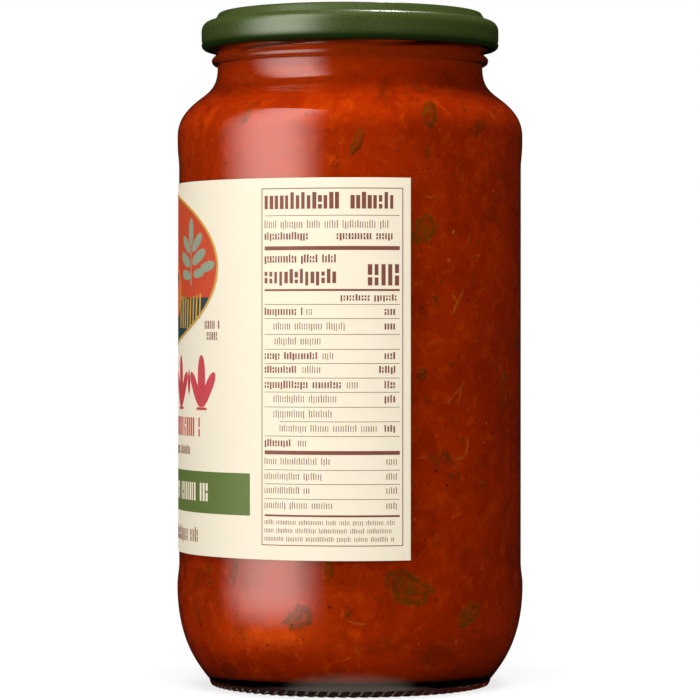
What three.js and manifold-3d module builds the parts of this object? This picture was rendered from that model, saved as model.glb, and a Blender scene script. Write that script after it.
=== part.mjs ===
// A shut glass jar of tomato sauce with a twist-off lid and a paper label.
// Millimetres, +Z up, the origin at the centre of the base. The front, where the info panel is, faces -Y.
// Angles are in degrees round the jar, 0 at the front and growing towards +X.
import * as THREE from "three";
import { mergeVertices } from "three/addons/utils/BufferGeometryUtils.js";
import Module from "manifold-3d";

const ROUND_STEPS = 48;

// Glass body, outside
const BODY_RADIUS = 45.55;
const LOWER_BULGE = { radius: 46.04, z: 26.5 };
const UPPER_BULGE = { radius: 45.94, z: 143.7 };
const PANEL = { bottom: 32.4, top: 137.0 };
const HEEL_START = { radius: 38.2, z: 2.4 };
const LAND = { inner: 33.2, outer: 34.7 };
const PUNT_HEIGHT = 3.4;

// Glass shoulder, neck and mouth, outside
const SHOULDER_TURN = { radius: 39.79, z: 155.79 };
const NECK_RADIUS = 35.3;
const NECK_Z = 164.0;
const BEAD = { bottom: 164.5, crest: 166.0, top: 167.9, radius: 36.87 };
const FINISH_RADIUS = 35.45;
const MOUTH_Z = 176.2;
const MOUTH_EDGE = 0.9;

// Glass, inside
const WALL = 2.8;
const FLOOR = { middle: 7.4, edge: 4.5, edgeRadius: 33.0 };
const HEEL_INSIDE_Z = 17.0;
const SHOULDER_INSIDE_Z = 142.0;
const NECK_INSIDE = { radius: 32.4, z: 161.8 };

// Threads that the lid turns on
const THREAD = { count: 6, first: -55, span: 60, bottom: 168.5, rise: 2.1, radius: 36.15, thickness: 1.05 };

// Knurl marks round the base's corner
const KNURL = { count: 82, width: 1.6, length: 4.0, depth: 1.3, lean: 32, tilt: 30, radius: 36.55, z: 0.95 };

// Sauce
const SAUCE_LEVEL = 162.4;
const GAP = 0.3;

// Lid
const LID = { radius: 39.59, bottom: 168.66, shoulder: 174.4, top: 178.6, sheet: 0.42 };
const CURL = { height: 1.45, lowest: 38.0, inner: 37.62 };
const LID_SHOULDER_EDGE = { radius: 36.85, z: 177.3 };
const LID_GROOVE = { radius: 36.3, z: 177.15 };
const LID_RING_RADIUS = 35.35;
const LID_PANEL = { radius: 33.7, z: 177.75 };
const BUTTON = { radius: 12.5, step: 0.35, edge: 1.2 };
const SEAL = { z: 176.62, inner: 32.1, outer: 36.1 };
const LUG = { count: 6, angle: -1.5, width: 7.0, inner: 36.0, outer: 38.4, bottom: 168.7, top: 169.02 };

// Label
const LABEL = { start: -210, end: 19.7, bottom: 35.7, top: 133.0, thickness: 0.14, gap: 0.1 };

const radians = THREE.MathUtils.degToRad;
const at = (radius, z) => new THREE.Vector2(radius, z);
const line = (a, b) => new THREE.LineCurve(a, b);
const bend = (a, b, c, d) => new THREE.CubicBezierCurve(a, b, c, d);
const turn = (a, corner, b) => new THREE.QuadraticBezierCurve(a, corner, b);

const wasm = await Module();
wasm.setup();

// One outline from curves that meet end to end, each cut into its own number of steps.
function outline(stretches) {
  const points = [];
  for (const [curve, steps] of stretches) {
    for (const point of curve.getPoints(steps)) {
      if (!points.length || points.at(-1).distanceTo(point) > 1e-4) {
        points.push(point);
      }
    }
  }
  return points;
}

// A solid of revolution about +Z from an outline that runs from the bottom, outwards and up.
function revolved(points) {
  return new THREE.LatheGeometry(points, ROUND_STEPS).rotateX(Math.PI / 2);
}

function solidOf(geometry) {
  const loose = geometry.index ? geometry.toNonIndexed() : geometry;
  const bare = new THREE.BufferGeometry();
  bare.setAttribute("position", loose.getAttribute("position"));
  const merged = mergeVertices(bare, 1e-4);
  return new wasm.Manifold(
    new wasm.Mesh({
      numProp: 3,
      vertProperties: merged.attributes.position.array,
      triVerts: new Uint32Array(merged.index.array),
    }),
  );
}

function geometryOf(solid) {
  const mesh = solid.getMesh();
  const geometry = new THREE.BufferGeometry();
  geometry.setAttribute("position", new THREE.BufferAttribute(mesh.vertProperties, 3));
  geometry.setIndex(new THREE.BufferAttribute(mesh.triVerts, 1));
  geometry.computeVertexNormals();
  return geometry;
}

// Joins copies of one small shape, spread evenly round the axis, to a solid.
function joinedRound(solid, small, count) {
  let whole = solid;
  for (let i = 0; i < count; i++) {
    const turned = small.clone().rotateZ(radians((i * 360) / count));
    whole = whole.add(solidOf(turned));
  }
  return whole;
}

// The ridge of one thread: round in section, climbing steadily as it runs to the right.
class ThreadPath extends THREE.Curve {
  getPoint(t, target = new THREE.Vector3()) {
    const angle = radians(THREAD.first + THREAD.span * t);
    return target.set(
      THREAD.radius * Math.sin(angle),
      -THREAD.radius * Math.cos(angle),
      THREAD.bottom + THREAD.rise * t,
    );
  }
}

function threadGeometry() {
  const section = new THREE.Shape().absarc(0, 0, THREAD.thickness, 0, 2 * Math.PI);
  return new THREE.ExtrudeGeometry(section, {
    curveSegments: 4,
    steps: 8,
    extrudePath: new ThreadPath(),
  });
}

// One slanted mark of the knurl, a ridge with pointed ends, lying on the base's corner at the front.
function knurlGeometry() {
  return new THREE.OctahedronGeometry(1)
    .scale(KNURL.width / 2, KNURL.length / 2, KNURL.depth / 2)
    .rotateZ(radians(KNURL.lean))
    .rotateX(radians(-KNURL.tilt))
    .translate(0, -KNURL.radius, KNURL.z);
}

// The outside of the body from the base's corner up to the neck.
function bodyOutside() {
  const heel = at(HEEL_START.radius, HEEL_START.z);
  const lower = at(LOWER_BULGE.radius, LOWER_BULGE.z);
  const upper = at(UPPER_BULGE.radius, UPPER_BULGE.z);
  const panelBottom = at(BODY_RADIUS, PANEL.bottom);
  const panelTop = at(BODY_RADIUS, PANEL.top);
  const turning = at(SHOULDER_TURN.radius, SHOULDER_TURN.z);
  const neck = at(NECK_RADIUS, NECK_Z);
  return [
    [bend(at(LAND.outer, 0), at(36.1, 0), at(37.0, 0.9), heel), 2],
    [bend(heel, at(41.48, 6.57), at(lower.x, 13.0), lower), 6],
    [bend(lower, at(lower.x, 28.5), at(BODY_RADIUS, 30.4), panelBottom), 2],
    [line(panelBottom, panelTop), 1],
    [bend(panelTop, at(BODY_RADIUS, 140.0), at(upper.x, 140.7), upper), 2],
    [bend(upper, at(upper.x, 146.86), at(46.64, 150.8), turning), 6],
    [bend(turning, at(36.94, 157.87), at(NECK_RADIUS, 159.66), neck), 4],
  ];
}

// The neck's transfer bead and the finish above it, up to the rounded mouth.
function finishOutside() {
  const mouthOuter = at(FINISH_RADIUS, MOUTH_Z - MOUTH_EDGE);
  const mouthTop = at(FINISH_RADIUS - MOUTH_EDGE, MOUTH_Z);
  const beadBottom = at(NECK_RADIUS, BEAD.bottom);
  const beadCrest = at(BEAD.radius, BEAD.crest);
  const beadTop = at(FINISH_RADIUS, BEAD.top);
  return [
    [line(at(NECK_RADIUS, NECK_Z), beadBottom), 1],
    [turn(beadBottom, at(BEAD.radius, BEAD.bottom + 0.1), beadCrest), 2],
    [bend(beadCrest, at(BEAD.radius, BEAD.crest + 0.7), at(FINISH_RADIUS, BEAD.top - 0.7), beadTop), 3],
    [line(beadTop, mouthOuter), 1],
    [turn(mouthOuter, at(FINISH_RADIUS, MOUTH_Z), mouthTop), 1],
  ];
}

// The inside of the jar from a height in the neck down to the middle of its floor.
// A gap moves it inwards, for what fills the jar.
function jarInside(gap, topZ) {
  const wall = BODY_RADIUS - WALL - gap;
  const neck = at(NECK_INSIDE.radius - gap, NECK_INSIDE.z);
  const turning = at(SHOULDER_TURN.radius - 2.0 - gap, SHOULDER_TURN.z - 2.0);
  const shoulder = at(wall, SHOULDER_INSIDE_Z);
  const heel = at(wall, HEEL_INSIDE_Z);
  const edge = at(FLOOR.edgeRadius, FLOOR.edge + gap);
  const middle = at(0, FLOOR.middle + gap);
  return [
    [line(at(neck.x, topZ), neck), 1],
    [bend(neck, at(neck.x, neck.y - 3.0), at(turning.x - 2.86, turning.y + 2.1), turning), 3],
    [bend(turning, at(turning.x + 6.0, turning.y - 4.4), at(wall, shoulder.y + 5.2), shoulder), 4],
    [line(shoulder, heel), 1],
    [bend(heel, at(wall, 9.5 + gap), at(edge.x + 5.5, edge.y), edge), 4],
    [bend(edge, at(22, edge.y), at(15, middle.y), middle), 2],
  ];
}

function glassGeometry() {
  const mouthInner = at(NECK_INSIDE.radius + MOUTH_EDGE, MOUTH_Z);
  const mouthInside = at(NECK_INSIDE.radius, MOUTH_Z - MOUTH_EDGE);
  const points = outline([
    [bend(at(0, PUNT_HEIGHT), at(18, PUNT_HEIGHT), at(28, 1.4), at(LAND.inner, 0)), 3],
    [line(at(LAND.inner, 0), at(LAND.outer, 0)), 1],
    ...bodyOutside(),
    ...finishOutside(),
    [line(at(FINISH_RADIUS - MOUTH_EDGE, MOUTH_Z), mouthInner), 1],
    [turn(mouthInner, at(mouthInside.x, MOUTH_Z), mouthInside), 1],
    ...jarInside(0, mouthInside.y),
  ]);
  const threaded = joinedRound(solidOf(revolved(points)), threadGeometry(), THREAD.count);
  return geometryOf(joinedRound(threaded, knurlGeometry(), KNURL.count));
}

function sauceGeometry() {
  const fromTop = outline(jarInside(GAP, SAUCE_LEVEL));
  return revolved([...fromTop.reverse(), at(0, SAUCE_LEVEL)]);
}

// The lid's underside from its middle, over the sealing compound, down the skirt and round the curl.
function lidInside() {
  const skirt = LID.radius - LID.sheet;
  const panelZ = LID_PANEL.z - LID.sheet;
  const panelEdge = at(SEAL.inner, panelZ);
  const sealInner = at(SEAL.inner + 0.3, SEAL.z);
  const sealOuter = at(SEAL.outer, SEAL.z);
  const skirtTop = at(skirt, LID.shoulder);
  const skirtBottom = at(skirt, LID.bottom + CURL.height + 0.6);
  const curlSide = at(CURL.inner, LID.bottom + 0.5);
  const curlBottom = at(CURL.lowest, LID.bottom);
  return [
    [line(at(0, panelZ), panelEdge), 1],
    [line(panelEdge, sealInner), 1],
    [line(sealInner, sealOuter), 1],
    [turn(sealOuter, at(skirt, SEAL.z), skirtTop), 3],
    [line(skirtTop, skirtBottom), 1],
    [turn(skirtBottom, at(CURL.inner, skirtBottom.y), curlSide), 2],
    [turn(curlSide, at(CURL.inner, LID.bottom), curlBottom), 1],
  ];
}

// Its outer side from the curl up the skirt, over the raised ring and across the panel with its safety button.
function lidOutside() {
  const curlBottom = at(CURL.lowest, LID.bottom);
  const skirtBottom = at(LID.radius, LID.bottom + CURL.height);
  const skirtTop = at(LID.radius, LID.shoulder);
  const shoulder = at(LID_SHOULDER_EDGE.radius, LID_SHOULDER_EDGE.z);
  const groove = at(LID_GROOVE.radius, LID_GROOVE.z);
  const ring = at(LID_RING_RADIUS, LID.top);
  const panel = at(LID_PANEL.radius, LID_PANEL.z);
  const buttonEdge = at(BUTTON.radius, LID_PANEL.z);
  const buttonTop = at(BUTTON.radius - BUTTON.edge, LID_PANEL.z + BUTTON.step);
  const middle = at(0, LID_PANEL.z + BUTTON.step / 2);
  return [
    [bend(curlBottom, at(38.95, LID.bottom), at(LID.radius, skirtBottom.y - 0.85), skirtBottom), 4],
    [line(skirtBottom, skirtTop), 1],
    [bend(skirtTop, at(LID.radius, skirtTop.y + 1.7), at(shoulder.x + 1.5, shoulder.y), shoulder), 4],
    [line(shoulder, groove), 1],
    [turn(groove, at(LID_GROOVE.radius, LID.top), ring), 3],
    [turn(ring, at(34.4, LID.top), panel), 3],
    [line(panel, buttonEdge), 1],
    [line(buttonEdge, buttonTop), 1],
    [line(buttonTop, middle), 1],
  ];
}

// One of the lugs that the curl is pressed into, under a thread.
function lugGeometry() {
  const depth = LUG.outer - LUG.inner;
  const height = LUG.top - LUG.bottom;
  return new THREE.BoxGeometry(LUG.width, depth, height)
    .translate(0, -LUG.inner - depth / 2, LUG.bottom + height / 2)
    .rotateZ(radians(LUG.angle));
}

function lidGeometry() {
  const plain = solidOf(revolved(outline([...lidInside(), ...lidOutside()])));
  return geometryOf(joinedRound(plain, lugGeometry(), LUG.count));
}

// A point over the jar's flat facets: on a facet that lies at the given radius at its corners.
function onFacets(angle, radius) {
  const step = 360 / ROUND_STEPS;
  const offMiddle = angle - (Math.floor(angle / step) + 0.5) * step;
  const reach = (radius * Math.cos(radians(step / 2))) / Math.cos(radians(offMiddle));
  return at(reach * Math.sin(radians(angle)), -reach * Math.cos(radians(angle)));
}

// The label: a thin band that follows the body's facets round part of the jar.
function labelGeometry() {
  const step = 360 / ROUND_STEPS;
  const angles = [LABEL.start];
  for (let k = Math.ceil(LABEL.start / step); k * step < LABEL.end; k++) {
    angles.push(k * step);
  }
  angles.push(LABEL.end);
  const inner = BODY_RADIUS + LABEL.gap;
  const outerEdge = angles.map((angle) => onFacets(angle, inner + LABEL.thickness));
  const innerEdge = angles.map((angle) => onFacets(angle, inner));
  const section = new THREE.Shape([...outerEdge, ...innerEdge.reverse()]);
  return new THREE.ExtrudeGeometry(section, {
    depth: LABEL.top - LABEL.bottom,
    bevelEnabled: false,
  }).translate(0, 0, LABEL.bottom);
}

const jar = new THREE.Group();

function addPiece(name, geometry, finish) {
  const piece = new THREE.Mesh(geometry, new THREE.MeshStandardMaterial(finish));
  piece.name = name;
  jar.add(piece);
}

addPiece("jar_glass", glassGeometry(), {
  color: 0xe4ebe6,
  roughness: 0.05,
  metalness: 0,
  transparent: true,
  opacity: 0.3,
});
addPiece("sauce", sauceGeometry(), { color: 0xa8330a, roughness: 0.55, metalness: 0 });
addPiece("lid", lidGeometry(), { color: 0x3f5026, roughness: 0.42, metalness: 0.2 });
addPiece("label", labelGeometry(), { color: 0xf3e9d2, roughness: 0.7, metalness: 0 });

export default jar;
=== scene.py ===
import math
import random

import bpy
from bpy.props import FloatProperty, FloatVectorProperty, PointerProperty
from mathutils import Matrix, Vector, noise


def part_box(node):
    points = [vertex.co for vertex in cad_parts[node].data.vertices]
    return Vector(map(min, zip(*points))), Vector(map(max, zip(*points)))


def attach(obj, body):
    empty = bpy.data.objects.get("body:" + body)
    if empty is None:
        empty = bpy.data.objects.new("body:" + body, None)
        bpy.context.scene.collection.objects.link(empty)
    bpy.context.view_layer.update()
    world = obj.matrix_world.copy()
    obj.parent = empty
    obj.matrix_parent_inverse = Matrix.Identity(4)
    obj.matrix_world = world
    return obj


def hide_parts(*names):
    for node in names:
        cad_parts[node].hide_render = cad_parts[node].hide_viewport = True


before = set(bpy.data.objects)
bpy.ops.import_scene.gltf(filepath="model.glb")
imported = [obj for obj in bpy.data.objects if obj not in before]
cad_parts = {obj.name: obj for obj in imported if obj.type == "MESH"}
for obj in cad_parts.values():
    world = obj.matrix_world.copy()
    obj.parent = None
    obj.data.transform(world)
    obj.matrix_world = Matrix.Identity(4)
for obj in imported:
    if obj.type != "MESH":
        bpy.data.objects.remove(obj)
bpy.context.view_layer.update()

bl_info = {
    "name": "Tomato sauce jar",
    "version": (1, 0, 0),
    "blender": (4, 5, 0),
    "location": "View3D > Sidebar > Sauce jar",
    "description": "Builds a shut glass jar of tomato sauce with a metal lid and a printed paper label",
    "category": "Object",
}

MM = 0.001
LABEL_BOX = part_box("label")

# These sizes and the outlines are in millimetres, and these angles in degrees. Properties, modifiers,
# finishes, lights and the camera take metres. An angle round the jar is counted from the side with the
# info panel, towards its right.
GLASS_WALL = 2.8
GLASS_INDEX = 1.5          # how strongly glass bends light
BORE = 32.4                # radius inside the neck
NECK = 35.3                # radius of the plain neck
MOUTH = 35.45              # radius of the neck between its threads
MOUTH_TOP = 176.2
BODY = 45.55               # radius of the straight body
INSIDE = 42.75             # radius of the sauce in it
HEEL_BULGE = 46.04
SHOULDER_BULGE = 45.94

TEETH = 82                 # slanted teeth of the knurl
ROUND_STEPS = 4 * TEETH
KNURL_INNER = 34.6         # radius where the teeth start
KNURL_WIDTH = 2.85
KNURL_TOP = 2.9
KNURL_SLANT = 0.7          # how far a tooth leans over its length, in teeth
KNURL_OUT = 0.55           # share of a tooth's depth that goes outwards
KNURL_DOWN = 0.84          # share that goes downwards

THREADS = 6
THREAD_SPAN = 360.0 / THREADS
THREAD_START = -55.0       # angle where one of them starts
THREAD_FOOT = 167.6        # height of its middle there
THREAD_RISE = 2.1          # over one span
THREAD_LENGTH = 1.25       # in spans
THREAD_HALF = 0.95         # half its width
LUG_ANGLE = -57.0

LABEL_FACE = 45.79         # radius of the paper's face
INK_FACE = 45.815          # radius of the first layer of ink
INK_LAYER = 0.018
FRONT = -95.0              # angle of the middle of the label's front

# The photograph, in pixels.
PIXEL = 0.267              # millimetres that a pixel spans at the jar's axis
CAMERA_AWAY = 3400.0       # the camera's distance from the axis
AXIS_COLUMN = 350.2
LEVEL_ROW = 330.0
LEVEL_HEIGHT = 353.2       # height of the level row above the table


def colour_property(name, description, value):
    return FloatVectorProperty(name=name, description=description, default=value, size=3,
                               min=0.0, max=1.0, subtype='COLOR')


def length_property(name, description, value):
    return FloatProperty(name=name, description=description, default=value, unit='LENGTH')


def angle_property(name, description, degrees):
    return FloatProperty(name=name, description=description, default=math.radians(degrees),
                         unit='ROTATION')


def glow_property(name, description, value):
    return FloatProperty(name=name, description=description, default=value, min=0.0)


class SauceJarSizes(bpy.types.PropertyGroup):
    """Sizes of the jar's pieces that a user may change"""
    sauce_level: length_property("Sauce level", "Height of the sauce above the table", 0.1624)
    wall_contact: length_property(
        "Wall contact", "How far the sauce reaches into the glass wall, so that no air shows", 0.00015)
    film_top: length_property("Film top", "Height to which sauce clings inside the neck", 0.1735)
    label_bottom: length_property(
        "Label bottom", "Height of the label's lower edge", round(LABEL_BOX[0][2], 5))
    label_top: length_property(
        "Label top", "Height of the label's upper edge", round(LABEL_BOX[1][2], 5))
    label_start: angle_property("Label start", "Angle of the label's hidden end", -210.0)
    label_end: angle_property("Label end", "Angle of the label's free edge", 19.7)
    paper_thickness: length_property("Paper thickness", "Thickness of the label", 0.00014)
    ink_thickness: length_property("Ink thickness", "Thickness of a printed field", 0.00005)
    tooth_depth: length_property("Tooth depth", "Depth of the knurl under the heel", 0.0008)
    thread_depth: length_property("Thread depth", "How far the threads stand out from the neck", 0.0011)


class SauceJarColours(bpy.types.PropertyGroup):
    """Colours of the jar's finishes"""
    glass: colour_property("Glass", "Tint of the clear glass", (0.975, 0.99, 0.98))
    sauce_dark: colour_property("Sauce, dark", "Deep red of the sauce", (0.24, 0.0135, 0.0002))
    sauce: colour_property("Sauce", "Middle colour of the sauce", (0.34, 0.021, 0.0003))
    sauce_light: colour_property("Sauce, light", "Orange of the pulp", (0.44, 0.042, 0.0007))
    film: colour_property("Film", "Thin sauce film inside the neck", (0.15, 0.017, 0.0015))
    leaf_green: colour_property("Leaf, green", "Olive side of the cooked basil", (0.132, 0.038, 0.0012))
    leaf_brown: colour_property("Leaf, brown", "Brown side of the cooked basil", (0.065, 0.018, 0.0012))
    shred: colour_property("Shreds", "Pale onion and garlic shreds", (0.36, 0.088, 0.006))
    tomato: colour_property("Tomato", "Soft pieces of tomato", (0.38, 0.044, 0.001))
    seed: colour_property("Seeds", "Tomato seeds", (0.4, 0.11, 0.008))
    lid: colour_property("Lid", "Green lacquer of the lid", (0.043, 0.063, 0.0125))
    paper: colour_property("Paper", "Cream of the label", (0.883, 0.793, 0.617))
    ink_brown: colour_property("Brown ink", "Ink of the small print", (0.195, 0.057, 0.04))
    ink_red: colour_property("Red ink", "Ink of the large print", (0.56, 0.055, 0.07))
    ink_green: colour_property("Green ink", "Ink of the band", (0.098, 0.145, 0.03))
    ink_brick: colour_property("Brick ink", "Ground of the picture", (0.55, 0.06, 0.018))
    ink_orange: colour_property("Orange ink", "Tomatoes in the picture", (0.72, 0.16, 0.03))
    ink_sage: colour_property("Sage ink", "Leaves in the picture", (0.27, 0.32, 0.22))
    ink_teal: colour_property("Teal ink", "Dark table in the picture", (0.012, 0.035, 0.04))
    ink_gold: colour_property("Gold ink", "Stalks and border of the picture", (0.6, 0.34, 0.05))


class SauceJarStudio(bpy.types.PropertyGroup):
    """The plain studio round the jar"""
    key_glow: glow_property("Key light", "Brightness of the light at the left on matt surfaces", 7.1)
    key_sheen: glow_property("Key sheen", "Brightness of the light at the left in reflections", 4.8)
    fill_glow: glow_property("Fill light", "Brightness of the even light from all round", 0.08)
    camera_distance: length_property(
        "Camera distance", "Distance of the camera from the jar's axis", 0.9078)
    camera_height: length_property("Camera height", "Height of the camera", 0.0943)


# Shaping helpers

def start_clean():
    """Leaves edit mode and deselects everything, the frame's nodes too."""
    if bpy.context.mode != 'OBJECT':
        bpy.ops.object.mode_set(mode='OBJECT')
    bpy.ops.object.select_all(action='DESELECT')


def make_active(piece):
    start_clean()
    piece.select_set(True)
    bpy.context.view_layer.objects.active = piece


def rename(piece, name):
    piece.name = name
    piece.data.name = name
    return piece


def bend(start, pull_a, pull_b, end, steps):
    """Points of a smooth bend between two ends, without its start."""
    points = []
    for step in range(1, steps + 1):
        t = step / steps
        s = 1.0 - t
        points.append(tuple(s ** 3 * a + 3 * s * s * t * b + 3 * s * t * t * c + t ** 3 * d
                            for a, b, c, d in zip(start, pull_a, pull_b, end)))
    return points


class Outline:
    """Half section of a turned piece, as radius and height in millimetres."""

    def __init__(self, radius, height):
        self.points = [(radius, height)]

    def line(self, radius, height, steps=1):
        start = self.points[-1]
        for step in range(1, steps + 1):
            t = step / steps
            self.points.append((start[0] + (radius - start[0]) * t, start[1] + (height - start[1]) * t))

    def bend(self, pull_a, pull_b, end, steps):
        self.points += bend(self.points[-1], pull_a, pull_b, end, steps)

    def corner(self, pull, end, steps=4):
        """A bend whose two pulls lie towards one point."""
        start = self.points[-1]
        pull_a = tuple(a + (b - a) * 2 / 3 for a, b in zip(start, pull))
        pull_b = tuple(a + (b - a) * 2 / 3 for a, b in zip(end, pull))
        self.bend(pull_a, pull_b, end, steps)


def pushed_out(points, distance):
    """The same outline moved sideways, to the right of its direction."""
    moved = []
    for index, (radius, height) in enumerate(points):
        before = points[max(index - 1, 0)]
        after = points[min(index + 1, len(points) - 1)]
        along = Vector((after[0] - before[0], after[1] - before[1])).normalized()
        moved.append((max(radius + along.y * distance, 0.0), height - along.x * distance))
    return moved


def turned(name, points, steps, ring=False):
    """Spins an outline about the jar's axis; a ring's outline is closed, the others end on the axis."""
    start_clean()
    bpy.ops.mesh.primitive_circle_add(vertices=len(points), radius=0.01, fill_type='NOTHING')
    piece = rename(bpy.context.object, name)
    for vertex, (radius, height) in zip(piece.data.vertices, points):
        vertex.co = (radius * MM, 0.0, height * MM)
    last = len(points) - 1
    for vertex in piece.data.vertices:
        vertex.select = False
    for edge in piece.data.edges:
        edge.select = not ring and set(edge.vertices) == {0, last}
        if edge.select:
            for index in edge.vertices:
                piece.data.vertices[index].select = True
    bpy.ops.object.mode_set(mode='EDIT')
    bpy.ops.mesh.select_mode(type='EDGE')
    if not ring:
        bpy.ops.mesh.delete(type='EDGE_FACE')
    bpy.ops.mesh.select_mode(type='VERT')
    bpy.ops.mesh.select_all(action='SELECT')
    bpy.ops.mesh.spin(steps=steps, angle=2 * math.pi, center=(0, 0, 0), axis=(0, 0, 1),
                      use_auto_merge=True)
    bpy.ops.mesh.select_all(action='SELECT')
    bpy.ops.mesh.remove_doubles(threshold=1e-6)
    bpy.ops.mesh.normals_make_consistent(inside=False)
    bpy.ops.object.mode_set(mode='OBJECT')
    return piece


def smooth(piece, angle):
    make_active(piece)
    bpy.ops.object.shade_smooth_by_angle(angle=math.radians(angle))


def applied(piece, kind, **settings):
    """Adds one modifier to the piece and applies it."""
    make_active(piece)
    modifier = piece.modifiers.new(kind.title(), kind)
    for setting, value in settings.items():
        setattr(modifier, setting, value)
    bpy.ops.object.modifier_apply(modifier=modifier.name)


def joined(name, pieces):
    start_clean()
    for piece in pieces:
        piece.select_set(True)
    bpy.context.view_layer.objects.active = pieces[0]
    if len(pieces) > 1:
        bpy.ops.object.join()
    return rename(bpy.context.object, name)


def copied(piece):
    """A copy with a mesh of its own."""
    twin = piece.copy()
    twin.data = piece.data.copy()
    bpy.context.collection.objects.link(twin)
    return twin


def thrown_away(piece):
    mesh = piece.data
    bpy.data.objects.remove(piece)
    bpy.data.meshes.remove(mesh)


def finish_piece(piece, finish, slot, *nodes):
    """Gives a piece its finish and its body, and hides the CAD nodes that it replaces. Its slot is not used.
    """
    piece.data.materials.clear()
    piece.data.materials.append(finish)
    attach(piece, "root")
    if nodes:
        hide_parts(*nodes)


# Outlines of the jar

def inside_outline(start_height):
    """Inside of the glass from the neck down to the middle of the floor."""
    wall = Outline(BORE, start_height)
    wall.line(BORE, 161.8, 2)
    wall.bend((BORE, 158.8), (34.93, 155.89), (37.79, 153.79), 10)
    wall.bend((43.79, 149.39), (INSIDE, 147.2), (INSIDE, 142.0), 18)
    wall.line(INSIDE, 17.0, 4)
    wall.bend((INSIDE, 9.5), (38.5, 4.5), (33.0, 4.5), 14)
    wall.bend((22.0, 4.5), (15.0, 7.4), (0.0, 7.4), 10)
    return wall.points


def glass_outline():
    """Whole section of the glass, from under its middle, round the mouth and back inside."""
    wall = Outline(0.0, 3.4)
    wall.bend((18.0, 3.4), (28.0, 1.4), (33.2, 0.0), 12)
    wall.line(34.7, 0.0)
    wall.bend((36.1, 0.0), (37.0, 0.9), (38.2, 2.4), 12)
    wall.bend((41.48, 6.57), (HEEL_BULGE, 13.0), (HEEL_BULGE, 26.5), 26)
    wall.bend((HEEL_BULGE, 28.5), (BODY, 30.4), (BODY, 32.4), 8)
    wall.line(BODY, 137.0, 4)
    wall.bend((BODY, 140.0), (SHOULDER_BULGE, 140.7), (SHOULDER_BULGE, 143.7), 8)
    wall.bend((SHOULDER_BULGE, 146.86), (46.64, 150.8), (39.79, 155.79), 20)
    wall.bend((36.94, 157.87), (NECK, 159.66), (NECK, 164.0), 12)
    wall.line(NECK, 164.5)
    wall.corner((36.87, 164.6), (36.87, 166.0), 6)
    wall.bend((36.87, 166.7), (MOUTH, 167.2), (MOUTH, 167.9), 6)
    wall.line(MOUTH, 175.3, 22)
    wall.corner((MOUTH, MOUTH_TOP), (34.55, MOUTH_TOP))
    wall.line(33.3, MOUTH_TOP)
    wall.corner((BORE, MOUTH_TOP), (BORE, 175.3))
    return wall.points + inside_outline(163.0)


def sauce_wall():
    """Surface of the sauce against the glass, from the floor's middle up to its level.

    A thin cushion of air lies between the sauce and the floor, so that the thick base looks clear.
    """
    cushion, cushion_radius, cushion_top = 0.35, 34.8, 10.0
    inside = inside_outline(sizes().sauce_level / MM)
    touching = pushed_out(inside, -sizes().wall_contact / MM)
    lifted = pushed_out(inside, cushion)
    down = [far if near[0] < cushion_radius and near[1] < cushion_top else near
            for near, far in zip(touching, lifted)]
    return list(reversed(down))


class WallMap:
    """Finds places on the sauce's surface by angle and height, and distances along it."""

    def __init__(self, points):
        self.points = points
        self.lengths = [0.0]
        for before, after in zip(points, points[1:]):
            self.lengths.append(self.lengths[-1] + math.dist(before, after))

    def length_at(self, height):
        for index in range(len(self.points) - 1):
            low, high = self.points[index], self.points[index + 1]
            if low[0] > BORE - 2.4 and low[1] <= height <= high[1]:
                share = (height - low[1]) / max(high[1] - low[1], 1e-9)
                return self.lengths[index] + share * (self.lengths[index + 1] - self.lengths[index])
        return self.lengths[-1]

    def at(self, length):
        """Radius and height there, and the outward normal."""
        length = min(max(length, 0.001), self.lengths[-1] - 0.001)
        index = max(i for i, value in enumerate(self.lengths[:-1]) if value <= length)
        low, high = self.points[index], self.points[index + 1]
        share = (length - self.lengths[index]) / (self.lengths[index + 1] - self.lengths[index])
        along = Vector((high[0] - low[0], high[1] - low[1])).normalized()
        radius = low[0] + (high[0] - low[0]) * share
        height = low[1] + (high[1] - low[1]) * share
        return radius, height, along.y, -along.x


def wrapped_on_wall(piece, wall, angle, height, turn, lift):
    """Lays a flat piece on the sauce's wall; lift tells how far each point stands out of the sauce."""
    middle = wall.length_at(height)
    radius_there = wall.at(middle)[0]
    cosine, sine = math.cos(turn), math.sin(turn)
    for vertex in piece.data.vertices:
        x, y = vertex.co.x / MM, vertex.co.y / MM
        across = x * cosine - y * sine
        up = x * sine + y * cosine
        radius, level, out, rise = wall.at(middle + up)
        raised = lift(x, y) + vertex.co.z / MM
        radius += raised * out
        level += raised * rise
        spot = angle + across / max(radius_there, 1.0)
        vertex.co = (radius * math.sin(spot) * MM, -radius * math.cos(spot) * MM, level * MM)


def seen_at(x, y):
    """Angle and height on the sauce's wall of a spot seen at this pixel of the photograph.

    The spot is first found on the outside of the glass, and then followed through the bent light.
    """
    widest, shoulder, narrowing = 45.7, 146, 0.62
    height, rounds, edge = 90.0, 12, 0.999
    for _ in range(rounds):
        outside = widest if height < shoulder else widest - (height - shoulder) * narrowing
        outside = max(outside, NECK)
        depth = outside
        for _ in range(rounds):
            scale = CAMERA_AWAY / (CAMERA_AWAY - depth / PIXEL)
            side = max(-edge, min(edge, (x - AXIS_COLUMN) * PIXEL / scale / outside))
            angle = math.asin(side)
            depth = outside * math.cos(angle)
        height = ((LEVEL_ROW - y) / scale + LEVEL_HEIGHT) * PIXEL
    inner = outside - GLASS_WALL
    inside_glass = math.asin(side / GLASS_INDEX)
    further = math.asin(min(edge, outside * abs(math.sin(inside_glass)) / inner)) - abs(inside_glass)
    return angle + math.copysign(further, angle), height


def sizes():
    return bpy.context.scene.sauce_jar_sizes


def colours():
    return bpy.context.scene.sauce_jar_colours


def studio():
    return bpy.context.scene.sauce_jar_studio


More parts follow.
